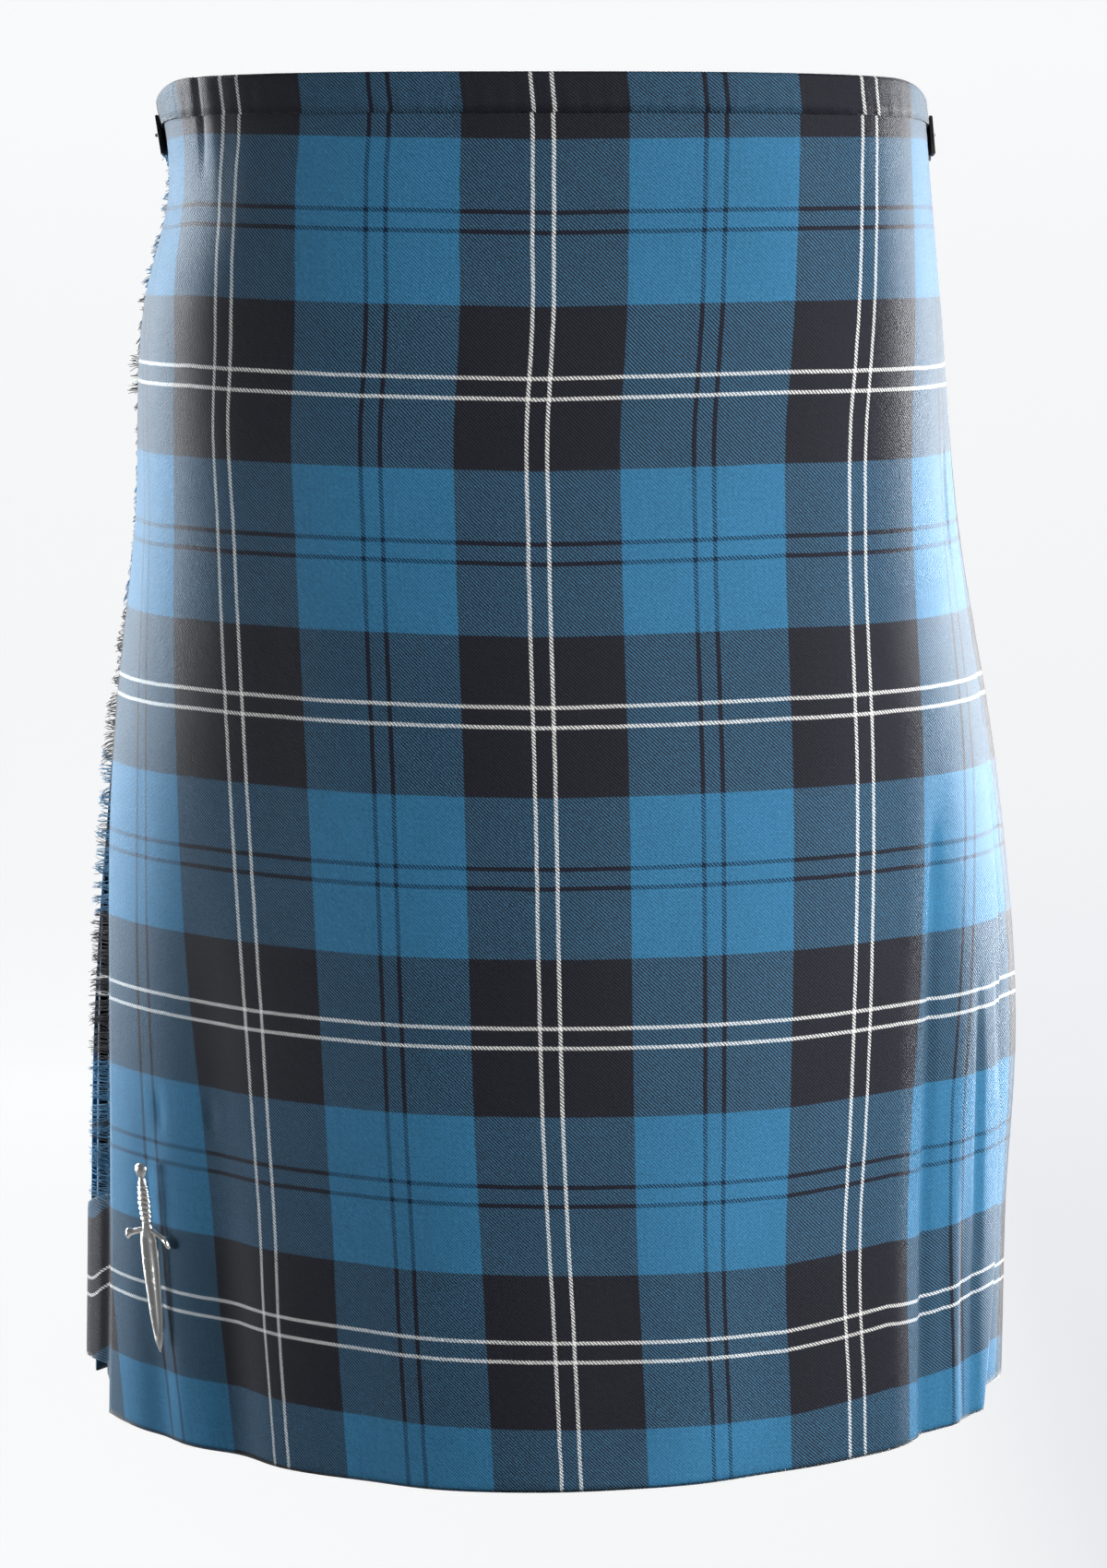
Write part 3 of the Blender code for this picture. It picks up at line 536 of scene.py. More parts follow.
def tartan_material(name):
    """A twill in which each warp and weft yarn has its own colour from the check."""
    graph = Graph(name)
    u, v, drop = cloth_axes(graph)
    where = graph.vector(u, v)
    yarn_wander = unevenness(graph, where, 1.3, 0.45)
    wander = graph.add(unevenness(graph, where, 0.09, 0.5), yarn_wander)
    warp_blue, warp_navy, warp_white = yarn_masks(graph, graph.add(u, wander))
    weft_blue, weft_navy, weft_white = yarn_masks(graph, graph.add(v, wander))
    twill = graph.wave(graph.add(graph.sub(v, u), yarn_wander), TWILL)
    share = graph.ramp(twill, -TWILL_EDGE, TWILL_EDGE)
    warp = ground_colour(graph, warp_blue, warp_navy)
    weft = ground_colour(graph, weft_blue, weft_navy)
    warp_share = graph.add(graph.mul(share, 1.0 - 2 * LEAST_SHARE), LEAST_SHARE)
    ground = graph.mix(warp_share, weft, warp)
    mixed = graph.away_from(warp_blue, weft_blue)
    ground = graph.tint(ground, graph.mix(mixed, UNCHANGED, MIXED_TINT))
    warp_cover = graph.mul(warp_white, graph.ramp(share, 0.0, 1.0, LEAST_WHITE, 1.0))
    weft_cover = graph.mul(weft_white, graph.ramp(share, 0.0, 1.0, 1.0, LEAST_WHITE))
    cover = graph.math("MAXIMUM", warp_cover, weft_cover)
    slub = graph.noise(where, 0.75, 4.0, 0.7)
    selvedge = graph.ramp(drop, SELVEDGE_FROM, SELVEDGE_TO, 1.0, SELVEDGE_SHADE)
    shade = graph.mul(yarn_shade(graph, u, v, slub), selvedge)
    colour = graph.shaded(graph.mix(cover, ground, WHITE), shade)
    cross = graph.wave(graph.add(u, v), CROSS_RIB)
    height = graph.add(graph.mul(twill, 0.5), graph.mul(cross, 0.16), graph.mul(slub, 1.6),
                       graph.mul(cover, 0.8))
    return graph.finish(
        Base_Color=colour, Roughness=0.60, Normal=graph.bump(height, 0.55, 0.00022),
        Sheen_Weight=0.80, Sheen_Roughness=0.20, Sheen_Tint=(1.0, 0.98, 0.95, 1.0),
        Specular_IOR_Level=0.07)


def thread_material(name):
    """A loose weft yarn in its own colour, with painted shade for its hollows, with its ply showing.
    """
    graph = Graph(name)
    u, v, _ = cloth_axes(graph)
    blue, navy, white = yarn_masks(graph, v)
    # painted shade: a noise darkens and lightens the yarn's colour in place of shade in its hollows
    fuzz_and_painted_shade = graph.ramp(graph.noise(graph.vector(u, v), 3.0), 0.25, 0.75, 0.45, 1.3)
    colour = graph.shaded(graph.mix(white, ground_colour(graph, blue, navy), WHITE), fuzz_and_painted_shade)
    ply = graph.math("SINE", graph.mul(graph.add(u, graph.mul(v, 3.0)), 7.0))
    return graph.finish(
        Base_Color=colour, Roughness=0.9, Normal=graph.bump(ply, 0.4, 0.0001),
        Sheen_Weight=0.06, Sheen_Roughness=0.5, Specular_IOR_Level=0.12)


def object_axes(graph):
    return graph.texture("ShaderNodeTexCoord", "Object")


LEATHER_NEW, LEATHER_WORN = (0.010, 0.009, 0.009), (0.035, 0.031, 0.029)
LEATHER_GRAINS = 900.0  # a metre
LEATHER_SCUFFS, LEATHER_PORES = 60.0, 2500.0
METAL_TARNISH, METAL_BRUSHING = 240.0, 2200.0


def leather_material(name):
    """Black strap leather with a pebbled grain, paler and rougher where it has worn."""
    graph = Graph(name)
    where = object_axes(graph)
    grain = graph.texture("ShaderNodeTexVoronoi", "Distance", Vector=where, Scale=LEATHER_GRAINS)
    worn = graph.noise(where, LEATHER_SCUFFS, 4.0, 0.6)
    colour = graph.mix(graph.ramp(worn, 0.45, 0.75), LEATHER_NEW, LEATHER_WORN)
    pores = graph.noise(where, LEATHER_PORES)
    height = graph.add(grain, graph.mul(pores, 0.5))
    rough = graph.ramp(worn, 0.3, 0.8, 0.50, 0.68)
    return graph.finish(Base_Color=colour, Roughness=rough, Specular_IOR_Level=0.18,
                        Normal=graph.bump(height, 0.5, 0.00015))


def metal_material(name, bright, dark, low, high):
    """Polished metal that has dulled where its tarnish is between low and high."""
    graph = Graph(name)
    where = object_axes(graph)
    tarnish = graph.noise(where, METAL_TARNISH, 4.0, 0.6)
    brushed = graph.noise(where, METAL_BRUSHING)
    colour = graph.mix(graph.ramp(tarnish, low, high), bright, dark)
    rough = graph.add(graph.ramp(tarnish, low, high, 0.18, 0.42), graph.mul(brushed, 0.06))
    return graph.finish(Base_Color=colour, Roughness=rough, Metallic=1.0,
                        Normal=graph.bump(brushed, 0.12, 0.00005))


TARTAN = tartan_material("tartan_cloth")
BAND_TARTAN = tartan_material("waistband_cloth")
THREAD = thread_material("fringe_yarn")
LEATHER = leather_material("strap_leather")
STEEL = metal_material("bright_steel", (0.78, 0.77, 0.76), (0.45, 0.43, 0.41), 0.5, 0.75)
SILVER = metal_material("pin_silver", (0.93, 0.92, 0.90), (0.42, 0.36, 0.32), 0.52, 0.72)


# ---- Aprons ----
APRON_STEP, PANEL_STEP = 3.6, 7.0  # between the levels of a mesh
APRON_COLUMNS, UNDER_COLUMNS, TURNED_COLUMNS = 230, 130, 12
UNDER_SHIFT = 20.0  # how far the under apron's check lies off the over apron's
TURN_DEPTH = 2 * CLOTH + TURN_GAP  # from the front's face to the turning's
SLOT_START = 1.6 * CLOTH  # the gap inside the fold starts this far from its edge

# The fold's rounded nose: how far from the edge in cloth thicknesses, the half of its depths that
# the other half mirrors, and the cloth's own length round it.
NOSE_IN = np.array([0.55, 0.2, 0.08, 0.08, 0.2, 0.55])
NOSE_DEPTHS = np.array([0.02, 0.3, 0.9])
NOSE_ROUND = np.array([0.6, 1.3, 2.0, 2.8, 3.5, 4.2])
NOSE_OUT = np.concatenate((-NOSE_DEPTHS, NOSE_DEPTHS[::-1] - TURN_DEPTH))


def levels(top, low, step):
    return np.linspace(top, low, int(round((low - top) / step)) + 1)


def stands_for(piece, node):
    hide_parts(node)
    return piece


def hang(name, node, drops, section):
    """A hanging sheet, lofted through its section (faces, then cloth) at each drop."""
    rows = [section(ring_at(drop), drop) for drop in drops]
    piece = loft(name, [row[:2] for row in rows], [row[2] for row in rows], TARTAN)
    return stands_for(piece, node)


def over_apron_section(ring, drop):
    """The front panel, with its fold edge turned under as a second layer."""
    free, fold = ring.free_edge, ring.fold_edge

    def bend(arc):
        return front_relief(arc - ring.drift, drop)

    front = np.linspace(free, fold - CLOTH, APRON_COLUMNS)
    turned = np.linspace(fold - CLOTH, fold - TURN_UNDER, TURNED_COLUMNS)
    outer_arc = np.concatenate((front, fold - CLOTH * NOSE_IN, turned))
    face = bend(front)
    outer_out = np.concatenate((face, face[-1] + NOSE_OUT, bend(turned) - TURN_DEPTH))
    slot_end = np.full(len(NOSE_IN), fold - SLOT_START)
    slot = np.linspace(fold - SLOT_START, fold - TURN_UNDER, TURNED_COLUMNS)
    inner_arc = np.concatenate((front[:-1], slot_end[:1], slot_end, slot))
    gaps = TURN_GAP * np.linspace(0.0, 1.0, len(NOSE_IN))
    inner_out = np.concatenate(
        (face - CLOTH, bend(slot_end) - CLOTH - gaps, bend(slot) - CLOTH - TURN_GAP))
    across = warp_of(front - ring.drift, drop)
    nose = across[-1] + NOSE_ROUND
    outer_u = np.concatenate((across, nose, nose[-1] + (turned[0] - turned)))
    return (ring.at(outer_arc, outer_out), ring.at(inner_arc, inner_out),
            cloth_row(outer_u, drop, weft_slip(outer_u, drop)))


def under_apron_section(ring, drop):
    start, end = ring.free_edge + END_UNDER + SEAM, ring.fold_edge - UNDER_FROM_FOLD
    arc = np.linspace(start, end, UNDER_COLUMNS)
    out = front_relief(arc - ring.drift, drop) - under_layer(drop)
    cloth = cloth_row(arc - ring.drift + UNDER_SHIFT, drop)
    return ring.at(arc, out), ring.at(arc, out - CLOTH), cloth


# ---- Pleats ----
LIFT_AT_FOLD, LIFT_AT_FRINGE, LIFT_REACH, LIFT_POWER = 8.0, 12.0, (60.0, 200.0), 12
FOLD_SLIP, FOLD_SLIP_EASED = 3.7, (430.0, 540.0)
HIPS_DROP = 200.0  # the pleats were laid out, and their check matched, at the hips
BELLY = 1.2  # how full a pleat's face is between its edges
FACE_SHARES = (0.0, 0.012, 0.2, 0.4, 0.6, 0.8, 1.0)
RETURN_SHARES = (0.5, 0.97)
SWING_STEP, SWING_DRIFT, DRIFT_STEP = 2.4, 0.7, 1.3  # radians, from one pleat to the next
NOSE_BACK, NOSE_TIP, NOSE_HALF = 0.25, 1.1, 0.5
LEAST_TURN = 0.35  # keeps the mitre of a sharp bend short


def pleat_fold_out(ring, from_start, to_end, index):
    """How far a pleat's fold stands out; no two pleats hang quite alike."""
    begin = smoothstep(0.0, PLEAT_EASE, from_start)
    ending = smoothstep(UNDER_FRINGE, UNDER_FRINGE + PLEAT_EASE, to_end)
    swing = smoothstep(HIPS_DROP, LENGTH, ring.drop)
    swing *= math.sin(SWING_STEP * index + SWING_DRIFT * math.sin(DRIFT_STEP * index))
    free = (eased(PLEATING, "stand", ring.drop) + swing) * begin * ending
    return free - SINK_AT_FOLD * (1 - begin) - SINK_AT_FRINGE * (1 - ending)


def pleat_line(ring):
    """Middle line of the pleated strip as (arc, out, place along the cloth), with sharp folds."""
    shown_from, last, width = ring.fold_edge, ring.pleats_end(), ring.pleat_width()
    hips = ring_at(HIPS_DROP)
    depth = eased(PLEATING, "depth", ring.drop)
    line = []
    start = (shown_from - START_UNDER, -START_DEPTH)
    for index in range(PLEATS + 1):
        fold = shown_from + width * (index + 1)
        fold_u = hips.fold + hips.pleat_width() * (index + 1)
        last_strip = index == PLEATS
        if last_strip:
            out = -under_layer(ring.drop) - CLOTH / 2
        else:
            out = pleat_fold_out(ring, fold - shown_from - width, last - fold, index)
        for share in FACE_SHARES:
            belly = BELLY * share * (1 - share)
            arc = start[0] + (fold - start[0]) * share
            line.append((arc, start[1] + (out - start[1]) * share + belly, fold_u - (fold - arc)))
        if last_strip:
            break
        crease = (fold - HIDDEN_SHARE * width, out - depth)
        length = math.hypot(crease[0] - fold, depth)
        for share in RETURN_SHARES:
            arc = fold + (crease[0] - fold) * share
            line.append((arc, out - depth * share, fold_u + length * share))
        start = crease
    return line


def thickened(line):
    """Both faces of the cloth about its middle line, with a blunt nose at each fold."""
    half = CLOTH / 2
    points = np.array([(arc, out) for arc, out, _ in line])
    along = [u for _, _, u in line]
    runs = np.diff(points, axis=0)
    runs /= np.linalg.norm(runs, axis=1)[:, None]
    lefts = np.stack((-runs[:, 1], runs[:, 0]), 1)
    left, right, coords = [points[0] + lefts[0] * half], [points[0] - lefts[0] * half], [along[0]]
    for index in range(1, len(points) - 1):
        point, run_in, run_out = points[index], runs[index - 1], runs[index]
        left_in, left_out = lefts[index - 1], lefts[index]
        turn = 1 + left_in.dot(left_out)
        mitre = (left_in + left_out) * (half / max(turn, LEAST_TURN))
        if run_in.dot(run_out) > 0:
            left.append(point + mitre)
            right.append(point - mitre)
            coords.append(along[index])
            continue
        side = 1 if run_in[0] * run_out[1] - run_in[1] * run_out[0] < 0 else -1
        tip = run_in - run_out
        tip = tip / np.linalg.norm(tip)
        nose = (point + left_in * half * side + run_in * NOSE_BACK, point + tip * half * NOSE_TIP,
                point + left_out * half * side - run_out * NOSE_BACK)
        crotch = point - mitre * side
        for corner, shift in zip(nose, (-NOSE_HALF, 0.0, NOSE_HALF)):
            (left if side > 0 else right).append(corner)
            (right if side > 0 else left).append(crotch)
            coords.append(along[index] + shift)
    left.append(points[-1] + lefts[-1] * half)
    right.append(points[-1] - lefts[-1] * half)
    coords.append(along[-1])
    return np.array(left), np.array(right), np.array(coords)


def hem_lift(ring, arc):
    """The pleats' hem swings up beside the aprons."""
    near = LIFT_AT_FOLD * (1 - smoothstep(*LIFT_REACH, arc - ring.fold_edge))
    near += LIFT_AT_FRINGE * (1 - smoothstep(*LIFT_REACH, ring.pleats_end() - arc))
    return near * (ring.drop / LENGTH) ** LIFT_POWER


def pleats_slip(ring, arc):
    """Beside the over apron's fold the pleats' check hangs lower than their lifted hem."""
    near = 1 - smoothstep(*LIFT_REACH, arc - ring.fold_edge)
    return -FOLD_SLIP * near * smoothstep(*FOLD_SLIP_EASED, ring.drop)


def pleats_section(ring, drop):
    left, right, along = thickened(pleat_line(ring))
    faces = [ring.at(side[:, 0], side[:, 1]) for side in (left, right)]
    for side, points in zip((left, right), faces):
        points[:, 2] += hem_lift(ring, side[:, 0]) * MM
    return (*faces, cloth_row(along, drop, pleats_slip(ring, left[:, 0])))


# ---- Waistband ----
DENTS_AT = 8.0  # the creases pass through the waistband's middle
BAND_ROUND, INNER_EASE, LEAST_RADIUS = 1.6, 0.6, 0.2
BAND_COLUMNS = {"over": 230, "under": 120, "behind": 260}
TURN_STEP = (8.0, 2.0)  # the band's back steps over the turning's end this far before it
FRONT_SHARES, ROUND_POINTS, BACK_SHARES = (1.0, 0.75, 0.5, 0.25), 9, (0.5, 1.0)
PUCKERS = ((0.16, 0.71, 0.0), (0.12, 1.37, 1.0))  # height, radians a millimetre, start


def band_face(front, back, top, ease, middle, radius):
    """One face's section as (level, out): up the front, over the rounded edge, down the back."""
    face = [(BAND_HEIGHT * share, front) for share in FRONT_SHARES]
    for turn in np.linspace(0.0, math.pi, ROUND_POINTS):
        face.append((top + ease * (1 - math.sin(turn)), middle + radius * math.cos(turn)))
    return face + [(BAND_HEIGHT * share, back) for share in BACK_SHARES]


def make_band(name, node, arcs, across, outermost, innermost):
    """A strip folded over the top edge: its section is swept along the waist."""
    dents = crease_relief(np.asarray(arcs) - ring_at(0.0).drift, DENTS_AT)
    places, cloth = [], []
    for index, arc in enumerate(arcs):
        deep = innermost(arc)
        middle, radius = (outermost + deep) / 2, (outermost - deep) / 2
        ease, inner_radius = min(radius, BAND_ROUND), max(radius - BAND_CLOTH, LEAST_RADIUS)
        outer = band_face(outermost, deep, 0.0, ease, middle, radius)
        inner = band_face(outermost - BAND_CLOTH, deep + BAND_CLOTH, BAND_CLOTH, ease * INNER_EASE,
                          middle, inner_radius)
        pucker = sum(high * math.sin(arc * turn + start) for high, turn, start in PUCKERS)
        faces = ([], [])
        for points, side in zip(faces, (outer, inner)):
            for level, out in side:
                if out > middle:
                    out += pucker * (level / BAND_HEIGHT) + dents[index]
                points.append(ring_at(round(level, 2)).at(arc, out))
        places.append(faces)
        drops = np.array([level for level, _ in outer])
        beyond = np.where(np.array([out for _, out in outer]) < middle, -drops, drops)
        slip = weft_slip(across[index], 0.0) if node == "over_apron_band" else 0.0
        weft = weft_of(beyond) + slip
        cloth.append(np.stack((np.full_like(drops, across[index]), weft, drops), -1))
    return stands_for(loft(name, places, cloth, BAND_TARTAN), node)


def make_waistband():
    """The band's three stretches: over apron, under apron and pleats."""
    waist, hips = ring_at(0.0), ring_at(HIPS_DROP)
    free, fold = waist.free_edge, waist.fold_edge

    def over_inner(arc):
        turned = smoothstep(*(fold - TURN_UNDER - before for before in TURN_STEP), arc)
        return -(CLOTH + BAND_PROUD) - turned * (CLOTH + TURN_GAP)

    over = np.linspace(free, fold, BAND_COLUMNS["over"])
    under = np.linspace(free + END_UNDER + SEAM, fold - UNDER_FROM_FOLD, BAND_COLUMNS["under"])
    behind = np.linspace(fold + SEAM, free + 2 * waist.half - SEAM, BAND_COLUMNS["behind"])
    behind_u = hips.fold + (behind - fold) / waist.pleat_width() * hips.pleat_width()

    def behind_inner(arc):
        middle = smoothstep(*PLEATS_BAND_ENDS, min(arc - behind[0], behind[-1] - arc))
        return -PLEATS_BAND_AT_ENDS + (PLEATS_BAND_AT_ENDS - PLEATS_BAND_DEPTH) * middle

    return (
        make_band("over_apron_waistband", "over_apron_band", over,
                  warp_of(over - waist.drift, 0.0), BAND_PROUD, over_inner),
        make_band("under_apron_waistband", "under_apron_band", under,
                  under - waist.drift + UNDER_SHIFT, BAND_PROUD - LAYER_AT_BAND,
                  lambda arc: -(LAYER_AT_BAND + CLOTH + BAND_PROUD)),
        make_band("pleats_waistband", "pleats_band", behind, behind_u, BAND_PROUD, behind_inner))


# ---- Fringe ----
FRINGE_TOP, FRAYED_TO, FRINGE_BOTTOM = 22.0, 508.0, 588.0
FRINGE_THREADS = 1120
THREAD_STEPS, THREAD_SIDES = 7, 3
THREAD_ROOT = 1.8  # how far a thread runs in under the strip's edge
THREAD_TAPER = 0.45
FRINGE_STRIP, FRINGE_REACH = 3.3, 22.0
VALLEY_DEPTH, VALLEY_AT, VALLEY_HALF = 1.9, 5.0, 3.2
PROUD, PROUD_FROM = 2.6, 6.0
STRIP_STEP, STRIP_COLUMNS, STRIP_CLOTH = 2.6, 16, 0.9 * CLOTH
WHOLE_EASED = 6.0  # it widens to whole cloth so far above and below the last thread
FRINGE_SLIP, FRINGE_SLIP_EASED = 10.0, (2.0, 18.0)  # the check hangs lower at its outer edge
CLUMP = 7  # threads that cling together
WORN_SHARE, WORN_ABOVE = 0.62, (230.0, 350.0)  # higher up the threads have worn shorter

# The threads stand off the cloth from one drop to another, by so many degrees.
TUFTS = ((22, 30, 20), (41, 58, 15), (66, 75, 26), (76, 88, 10), (97, 103, 14), (122, 129, 26),
         (132, 140, 22), (144, 147, 12), (186, 210, 3), (240, 254, 4), (270, 312, 3))


def fringe_out(beyond):
    """The strip dips behind the apron's edge, then stands a little proud of the pleats."""
    valley = VALLEY_DEPTH * np.exp(-((beyond - VALLEY_AT) / VALLEY_HALF) ** 2)
    return PROUD * smoothstep(PROUD_FROM, FRINGE_REACH, beyond) - valley


def thread_stand(drop):
    for top, low, stand in TUFTS:
        if top <= drop <= low:
            return math.radians(stand)
    return 0.0


def fringe_section(ring, drop):
    """The strip that the threads are frayed from; near the hem it is still whole cloth."""
    whole = smoothstep(FRAYED_TO - WHOLE_EASED, FRAYED_TO + WHOLE_EASED, drop)
    reach = FRINGE_STRIP + (FRINGE_REACH - 1.0 - FRINGE_STRIP) * whole
    beyond = np.linspace(SEAM, reach, STRIP_COLUMNS)
    out, arc = fringe_out(beyond), ring.free_edge - beyond
    slip = FRINGE_SLIP * smoothstep(*FRINGE_SLIP_EASED, beyond) / WEFT_EASE
    across = warp_of(arc - ring.drift, drop)
    return (ring.at(arc, out), ring.at(arc, out - STRIP_CLOTH),
            cloth_row(across, drop, eased(SLIPS, "far_left", drop) - slip))


def turns_of(sides):
    return [math.tau * side / sides for side in range(sides)]


def tube_faces(rows, sides, base):
    """The skin and both ends of a tube."""
    near, far = range(base, base + sides), range(base + (rows - 1) * sides, base + rows * sides)
    return skin_faces(rows, sides, base) + [tuple(reversed(near)), tuple(far)]


def make_fringe_threads():
    between = np.random.default_rng(5).uniform
    vertices, faces, cloth = [], [], []
    turns = turns_of(THREAD_SIDES)
    pitch = (FRAYED_TO - FRINGE_TOP) / FRINGE_THREADS
    for index in range(FRINGE_THREADS):
        if index % CLUMP == 0:
            clump_slope, clump_curl = between(-0.1, 0.3), between(-1.2, 2.2)
            clump_lift, clump_length = between(-0.9, 0.25), between(0.80, 1.0)
            clump_stand = between(0.3, 1.1)
        drop = FRINGE_TOP + pitch * (index + between(0.0, 0.8))
        length = (FRINGE_REACH - FRINGE_STRIP) * clump_length * between(0.82, 1.08)
        length *= WORN_SHARE + (1.0 - WORN_SHARE) * smoothstep(*WORN_ABOVE, drop)
        radius = between(0.20, 0.33)
        slope = clump_slope + between(-0.06, 0.06)
        curl = clump_curl + between(-0.5, 0.5)
        lift = clump_lift + between(-0.25, 0.25)
        stand = thread_stand(drop) * clump_stand * between(0.7, 1.15)
        layer = between(-0.9, 0.1)
        slip = eased(SLIPS, "far_left", drop)
        wave, phase = between(0.1, 0.5), between(0, 6.28)
        faces += tube_faces(THREAD_STEPS, THREAD_SIDES, len(vertices))
        for share in np.linspace(0.0, 1.0, THREAD_STEPS):
            run = length * share
            along = FRINGE_STRIP - THREAD_ROOT + (run + THREAD_ROOT) * math.cos(stand * share)
            fall = slope * run + curl * share * share + wave * math.sin(phase + 5 * share)
            out = layer + lift * share * share + 0.25 * math.sin(phase * 2 + 4 * share)
            out += fringe_out(along) + run * math.sin(stand * share)
            thin = radius * (1.0 - THREAD_TAPER * share)
            level = ring_at(round(min(max(drop + fall, 2.0), LENGTH - 1.0), 1))
            arc = level.free_edge - SEAM - along
            rim = level.at(arc, [out + thin * math.cos(turn) for turn in turns])
            rim[:, 2] += [thin * math.sin(turn) * MM for turn in turns]
            vertices += list(rim)
            cloth += [(index - along, weft_of(drop) + slip, drop)] * THREAD_SIDES
    piece = new_piece("fringe_threads", vertices, faces, THREAD, cloth)
    return stands_for(piece, "over_apron_fringe")


# ---- Kilt pin ----
PIN_DROP, PIN_ARC = 525.0, -203.5
PIN_LEAN, PIN_YAW = math.radians(3.3), math.radians(-16.0)
PIN_STAND, DAGGER_BACK = 3.0, 1.8
DAGGER_STEP, DAGGER_SIDES = 0.5, 24
FULLER_WIDTH = 0.42  # of the blade's half width

# The dagger's sections down from the top of its pommel. hollow is how deep the fuller in its face
# is, as a share of the thickness.
Blade = namedtuple("Blade", "drop half_width half_thick hollow")
DAGGER = table(
    Blade,
    (0, 0.6, 0.5, 0),
    (0.9, 2.2, 1.3, 0),
    (2.6, 3.1, 1.7, 0),
    (4.6, 2.7, 1.5, 0),
    (6.4, 1.7, 1.2, 0),
    (9, 2.1, 1.4, 0),
    (17, 3, 1.7, 0),
    (24, 2.7, 1.5, 0),
    (28.5, 2.4, 1.4, 0.1),
    (33, 4, 1.2, 0.35),
    (40, 4.4, 1.2, 0.55),
    (60, 3.8, 1.1, 0.55),
    (74, 2.9, 1, 0.4),
    (82, 1.7, 0.8, 0),
    (86, 0.25, 0.25, 0),
)
GRIP_FROM, GRIP_TO, GRIP_EASED = 8.0, 27.5, 1.5
CORD_PITCH, CORD_DEPTH = 2.3, 0.13

# The guard's arms swell to a knob near their ends, at a share of the reach.
GUARD_AT, ARM_ROWS, ARM_SIDES = 30.0, 26, 12
ARM_SIZE, ARM_GROWTH, KNOB_AT, KNOB_WIDTH, KNOB_SIZE = 1.35, 0.25, 0.86, 0.12, 0.45
TIP_FROM, TIP_ROUND, TIP_LEAST = 0.90, 0.0102, 0.02
ARM_ROOT, ARM_BEND, ARM_FLAT = -0.06, 1.6, 0.8
Arm = namedtuple("Arm", "side reach droop end_size")
ARMS = table(Arm, (1, 11.5, 2.5, 2.5), (-1, 11.5, 8, 2))


def pin_frame():
    """Where the pin lies on the apron: x across it, y down to its point, z out of the cloth."""

    def on_cloth(drop):
        ring = ring_at(drop)
        return Vector(ring.at(ring.drift + PIN_ARC, fold_relief(PIN_ARC, drop)))

    ring, seat = ring_at(PIN_DROP), on_cloth(PIN_DROP)
    arc = ring.drift + PIN_ARC
    down = (on_cloth(PIN_DROP + 20.0) - seat).normalized()
    outward = (Vector(ring.at(arc, 1.0)) - Vector(ring.at(arc, 0.0))).normalized()
    outward = (outward - down * outward.dot(down)).normalized()
    outward = Matrix.Rotation(PIN_YAW, 3, down) @ outward
    down = Matrix.Rotation(PIN_LEAN, 3, outward) @ down
    place = Matrix((down.cross(outward), down, outward)).transposed().to_4x4()
    place.translation = seat + outward * PIN_STAND * MM
    return place @ Matrix.Translation((0.0, -DAGGER[-1].drop / 2 * MM, 0.0))


def dagger_points():
    """Pommel, corded grip and fullered blade as one body."""
    spots = []
    for along in levels(0.0, DAGGER[-1].drop, DAGGER_STEP):
        half_width, half_thick, hollow = eased_row(DAGGER, along)
        gripped = (smoothstep(GRIP_FROM, GRIP_FROM + GRIP_EASED, along)
                   - smoothstep(GRIP_TO - GRIP_EASED, GRIP_TO, along))
        for turn in turns_of(DAGGER_SIDES):
            cord = 1.0 + CORD_DEPTH * gripped * math.sin(math.tau * along / CORD_PITCH + 2 * turn)
            across = half_width * math.sin(turn)
            groove = math.exp(-(across / (FULLER_WIDTH * half_width + 0.01)) ** 2)
            thick = half_thick * math.cos(turn) * cord * (1.0 - max(hollow, 0.0) * groove)
            spots.append((across * cord, along, DAGGER_BACK + thick))
    return spots


def arm_points(arm):
    spots = []
    for share in np.linspace(ARM_ROOT, 1.0, ARM_ROWS):
        bent = max(share, 0.0)
        knob = arm.end_size * math.exp(-((share - KNOB_AT) / KNOB_WIDTH) ** 2) * KNOB_SIZE
        rounded = max(1.0 - max(share - TIP_FROM, 0.0) ** 2 / TIP_ROUND, TIP_LEAST)
        size = (ARM_SIZE + ARM_GROWTH * bent + knob) * math.sqrt(rounded)
        for turn in turns_of(ARM_SIDES):
            spots.append((arm.side * arm.reach * share,
                          GUARD_AT + arm.droop * bent ** ARM_BEND + size * math.cos(turn),
                          DAGGER_BACK + ARM_FLAT * size * math.sin(turn)))
    return spots


def make_pin():
    """The dagger with an arm of its guard to each side."""
    spots = dagger_points()
    faces = tube_faces(len(spots) // DAGGER_SIDES, DAGGER_SIDES, 0)
    for arm in ARMS:
        faces += tube_faces(ARM_ROWS, ARM_SIDES, len(spots))
        spots += arm_points(arm)
    place = pin_frame()
    piece = new_piece("dagger_pin", [place @ (Vector(spot) * MM) for spot in spots], faces, SILVER)
    return stands_for(piece, "kilt_pin")


def finish_hardware():
    """The straps, buckles and needle stay as the solids are, in leather and steel."""
    for name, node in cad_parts.items():
        leather = "strap" in name or "chape" in name
        if leather or "buckle" in name or "needle" in name:
            node.data.materials.clear()
            node.data.materials.append(LEATHER if leather else STEEL)


over_apron = hang("over_apron_cloth", "over_apron",
                  levels(PANEL_TOP, LENGTH, APRON_STEP), over_apron_section)
under_apron = hang("under_apron_cloth", "under_apron",
                   levels(PANEL_TOP, LENGTH - UNDER_SHORT, PANEL_STEP), under_apron_section)
pleats = hang("pleats_cloth", "pleats",
              levels(PANEL_TOP, LENGTH, PANEL_STEP), pleats_section)
over_band, under_band, back_band = make_waistband()
fringe_threads = make_fringe_threads()
fringe_strip = hang("fringe_strip", "over_apron_fringe",
                    levels(FRINGE_TOP, FRINGE_BOTTOM, STRIP_STEP), fringe_section)
make_pin()
finish_hardware()
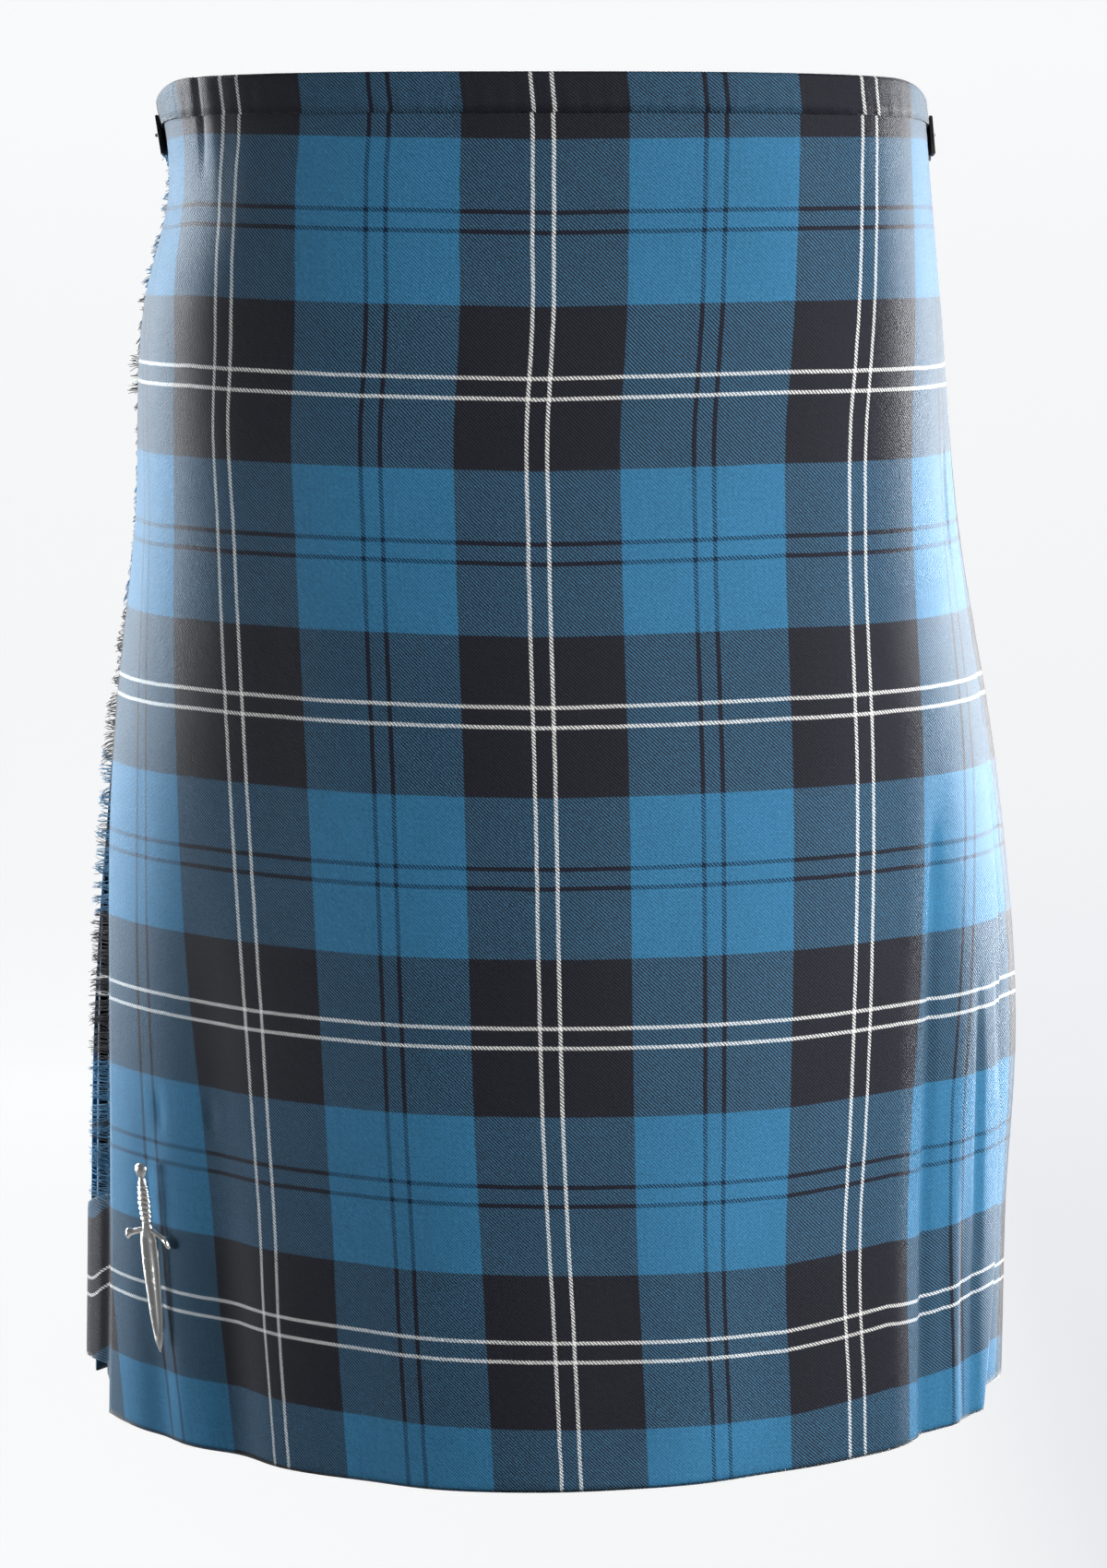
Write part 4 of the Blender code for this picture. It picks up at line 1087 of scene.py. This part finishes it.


# ---- Stage, light and camera (metres) ----
# The paper's colour, and the greyer colour of the painted shade on it
PAPER, PAPER_PAINTED_SHADE = (0.90, 0.905, 0.91), (0.78, 0.79, 0.82)
PAPER_SHADE = 0.5  # what it throws back of the lamps' light
GLOW, GLOW_FROM, GLOW_FULL = 0.86, 0.4, 1.5
# Painted shade: the paper greys from the first x to the second, and fades back from the first y to
# the second (metres)
PAINTED_SHADE_X, PAINTED_SHADE_Y = (0.28, 0.50), (3.4, 4.7)
FLOOR_HEIGHT, FLOOR_FRONT, FLOOR_BACK = -1.12, -3.5, 3.6
SWEEP_RADIUS, WALL_TOP, PAPER_HALF = 1.2, 3.5, 5.0


def make_stage():
    """White paper that runs back under the garment and curves up behind it, lit from within, with
    painted shade greying its floor to the right.
    """
    graph = Graph("studio_paper")
    x, y, _ = graph.split(object_axes(graph))
    # painted shade on the floor to the right, standing in for light falling off there; it greys the
    # glow too
    corner = graph.mul(graph.ramp(x, *PAINTED_SHADE_X), graph.ramp(y, *PAINTED_SHADE_Y, 1.0, 0.0))
    paper = graph.mix(corner, PAPER, PAPER_PAINTED_SHADE)
    glow = graph.shaded(paper, graph.ramp(y, GLOW_FROM, GLOW_FULL))
    look = graph.finish(Base_Color=graph.shaded(paper, PAPER_SHADE), Roughness=0.95,
                        Emission_Color=glow, Emission_Strength=GLOW)
    profile = [(FLOOR_FRONT, FLOOR_HEIGHT), (FLOOR_BACK, FLOOR_HEIGHT)]
    for turn in np.linspace(0.1, math.pi / 2, 14):
        profile.append((FLOOR_BACK + SWEEP_RADIUS * math.sin(turn),
                        FLOOR_HEIGHT + SWEEP_RADIUS - SWEEP_RADIUS * math.cos(turn)))
    profile.append((FLOOR_BACK + SWEEP_RADIUS, WALL_TOP))
    vertices = [(x, *place) for place in profile for x in (-PAPER_HALF, PAPER_HALF)]
    faces = [(row, row + 1, row + 3, row + 2) for row in range(0, 2 * len(profile) - 2, 2)]
    mesh = bpy.data.meshes.new("studio_floor")
    mesh.from_pydata(vertices, [], faces)
    smooth_object("studio_floor", mesh, look)


# Size is width and height in metres, power in watts, spread in degrees.
Lamp = namedtuple("Lamp", "name place aim size power colour spread")
WARM, COOL = (1.0, 0.99, 0.98), (0.95, 0.98, 1.0)
COLD, PALE = (0.93, 0.97, 1.0), (0.96, 0.98, 1.0)
LAMPS = table(
    Lamp,
    ("key", (2.2, -1.75, 0.35), (0.05, -0.1, -0.20), (0.9, 1.2), 12.6, WARM, 44),
    ("front", (0.2, -3, -0.7), (0, 0, -0.4), (1.6, 1), 0.35, COOL, 60),
    ("left_side", (-2.3, 0.3, -0.6), (-0.15, 0, -0.38), (0.7, 0.8), 4.5, COOL, 40),
    ("left_rim", (-1.5, 1.15, 0.1), (-0.15, 0, -0.12), (0.5, 1.2), 18, COLD, 66),
    ("right_side", (2, 0.55, -0.6), (0.17, 0, -0.36), (0.3, 0.4), 0.6, COLD, 24),
    ("right_rim", (1.35, 1.15, -0.3), (0.18, 0, -0.36), (0.4, 0.8), 13.5, PALE, 60),
)
SKY, SKY_STRENGTH = (0.93, 0.96, 1.0, 1.0), 0.12


def make_lights():
    world = bpy.data.worlds.new("studio")
    bpy.context.scene.world = world
    world.use_nodes = True
    colour, strength = world.node_tree.nodes["Background"].inputs[:2]
    colour.default_value, strength.default_value = SKY, SKY_STRENGTH
    for lamp in LAMPS:
        data = bpy.data.lights.new(lamp.name, "AREA")
        data.shape, (data.size, data.size_y) = "RECTANGLE", lamp.size
        data.energy, data.color, data.spread = lamp.power, lamp.colour, math.radians(lamp.spread)
        light = new_object(lamp.name, data)
        light.location = lamp.place
        aim = Vector(lamp.aim) - Vector(lamp.place)
        light.rotation_euler = aim.to_track_quat("-Z", "Y").to_euler()


SENSOR, FRAME_HEIGHT, FOCAL_LENGTH = 36.0, 1700.0, 5757.0  # mm, then pixels of the frame
CAMERA_PLACE, CAMERA_DIP = (0.0, -2.383, -0.0065), 0.1268  # dip below level, in radians
FAR_CLIP = 30.0


def make_camera():
    data = bpy.data.cameras.new("camera")
    data.sensor_width = SENSOR
    data.lens = FOCAL_LENGTH / FRAME_HEIGHT * SENSOR
    data.clip_end = FAR_CLIP
    camera = new_object("camera", data)
    camera.location = CAMERA_PLACE
    camera.rotation_euler = (math.pi / 2 - CAMERA_DIP, 0.0, 0.0)
    bpy.context.scene.camera = camera


make_stage()
make_lights()
make_camera()
bpy.context.scene.view_settings.view_transform = "Standard"
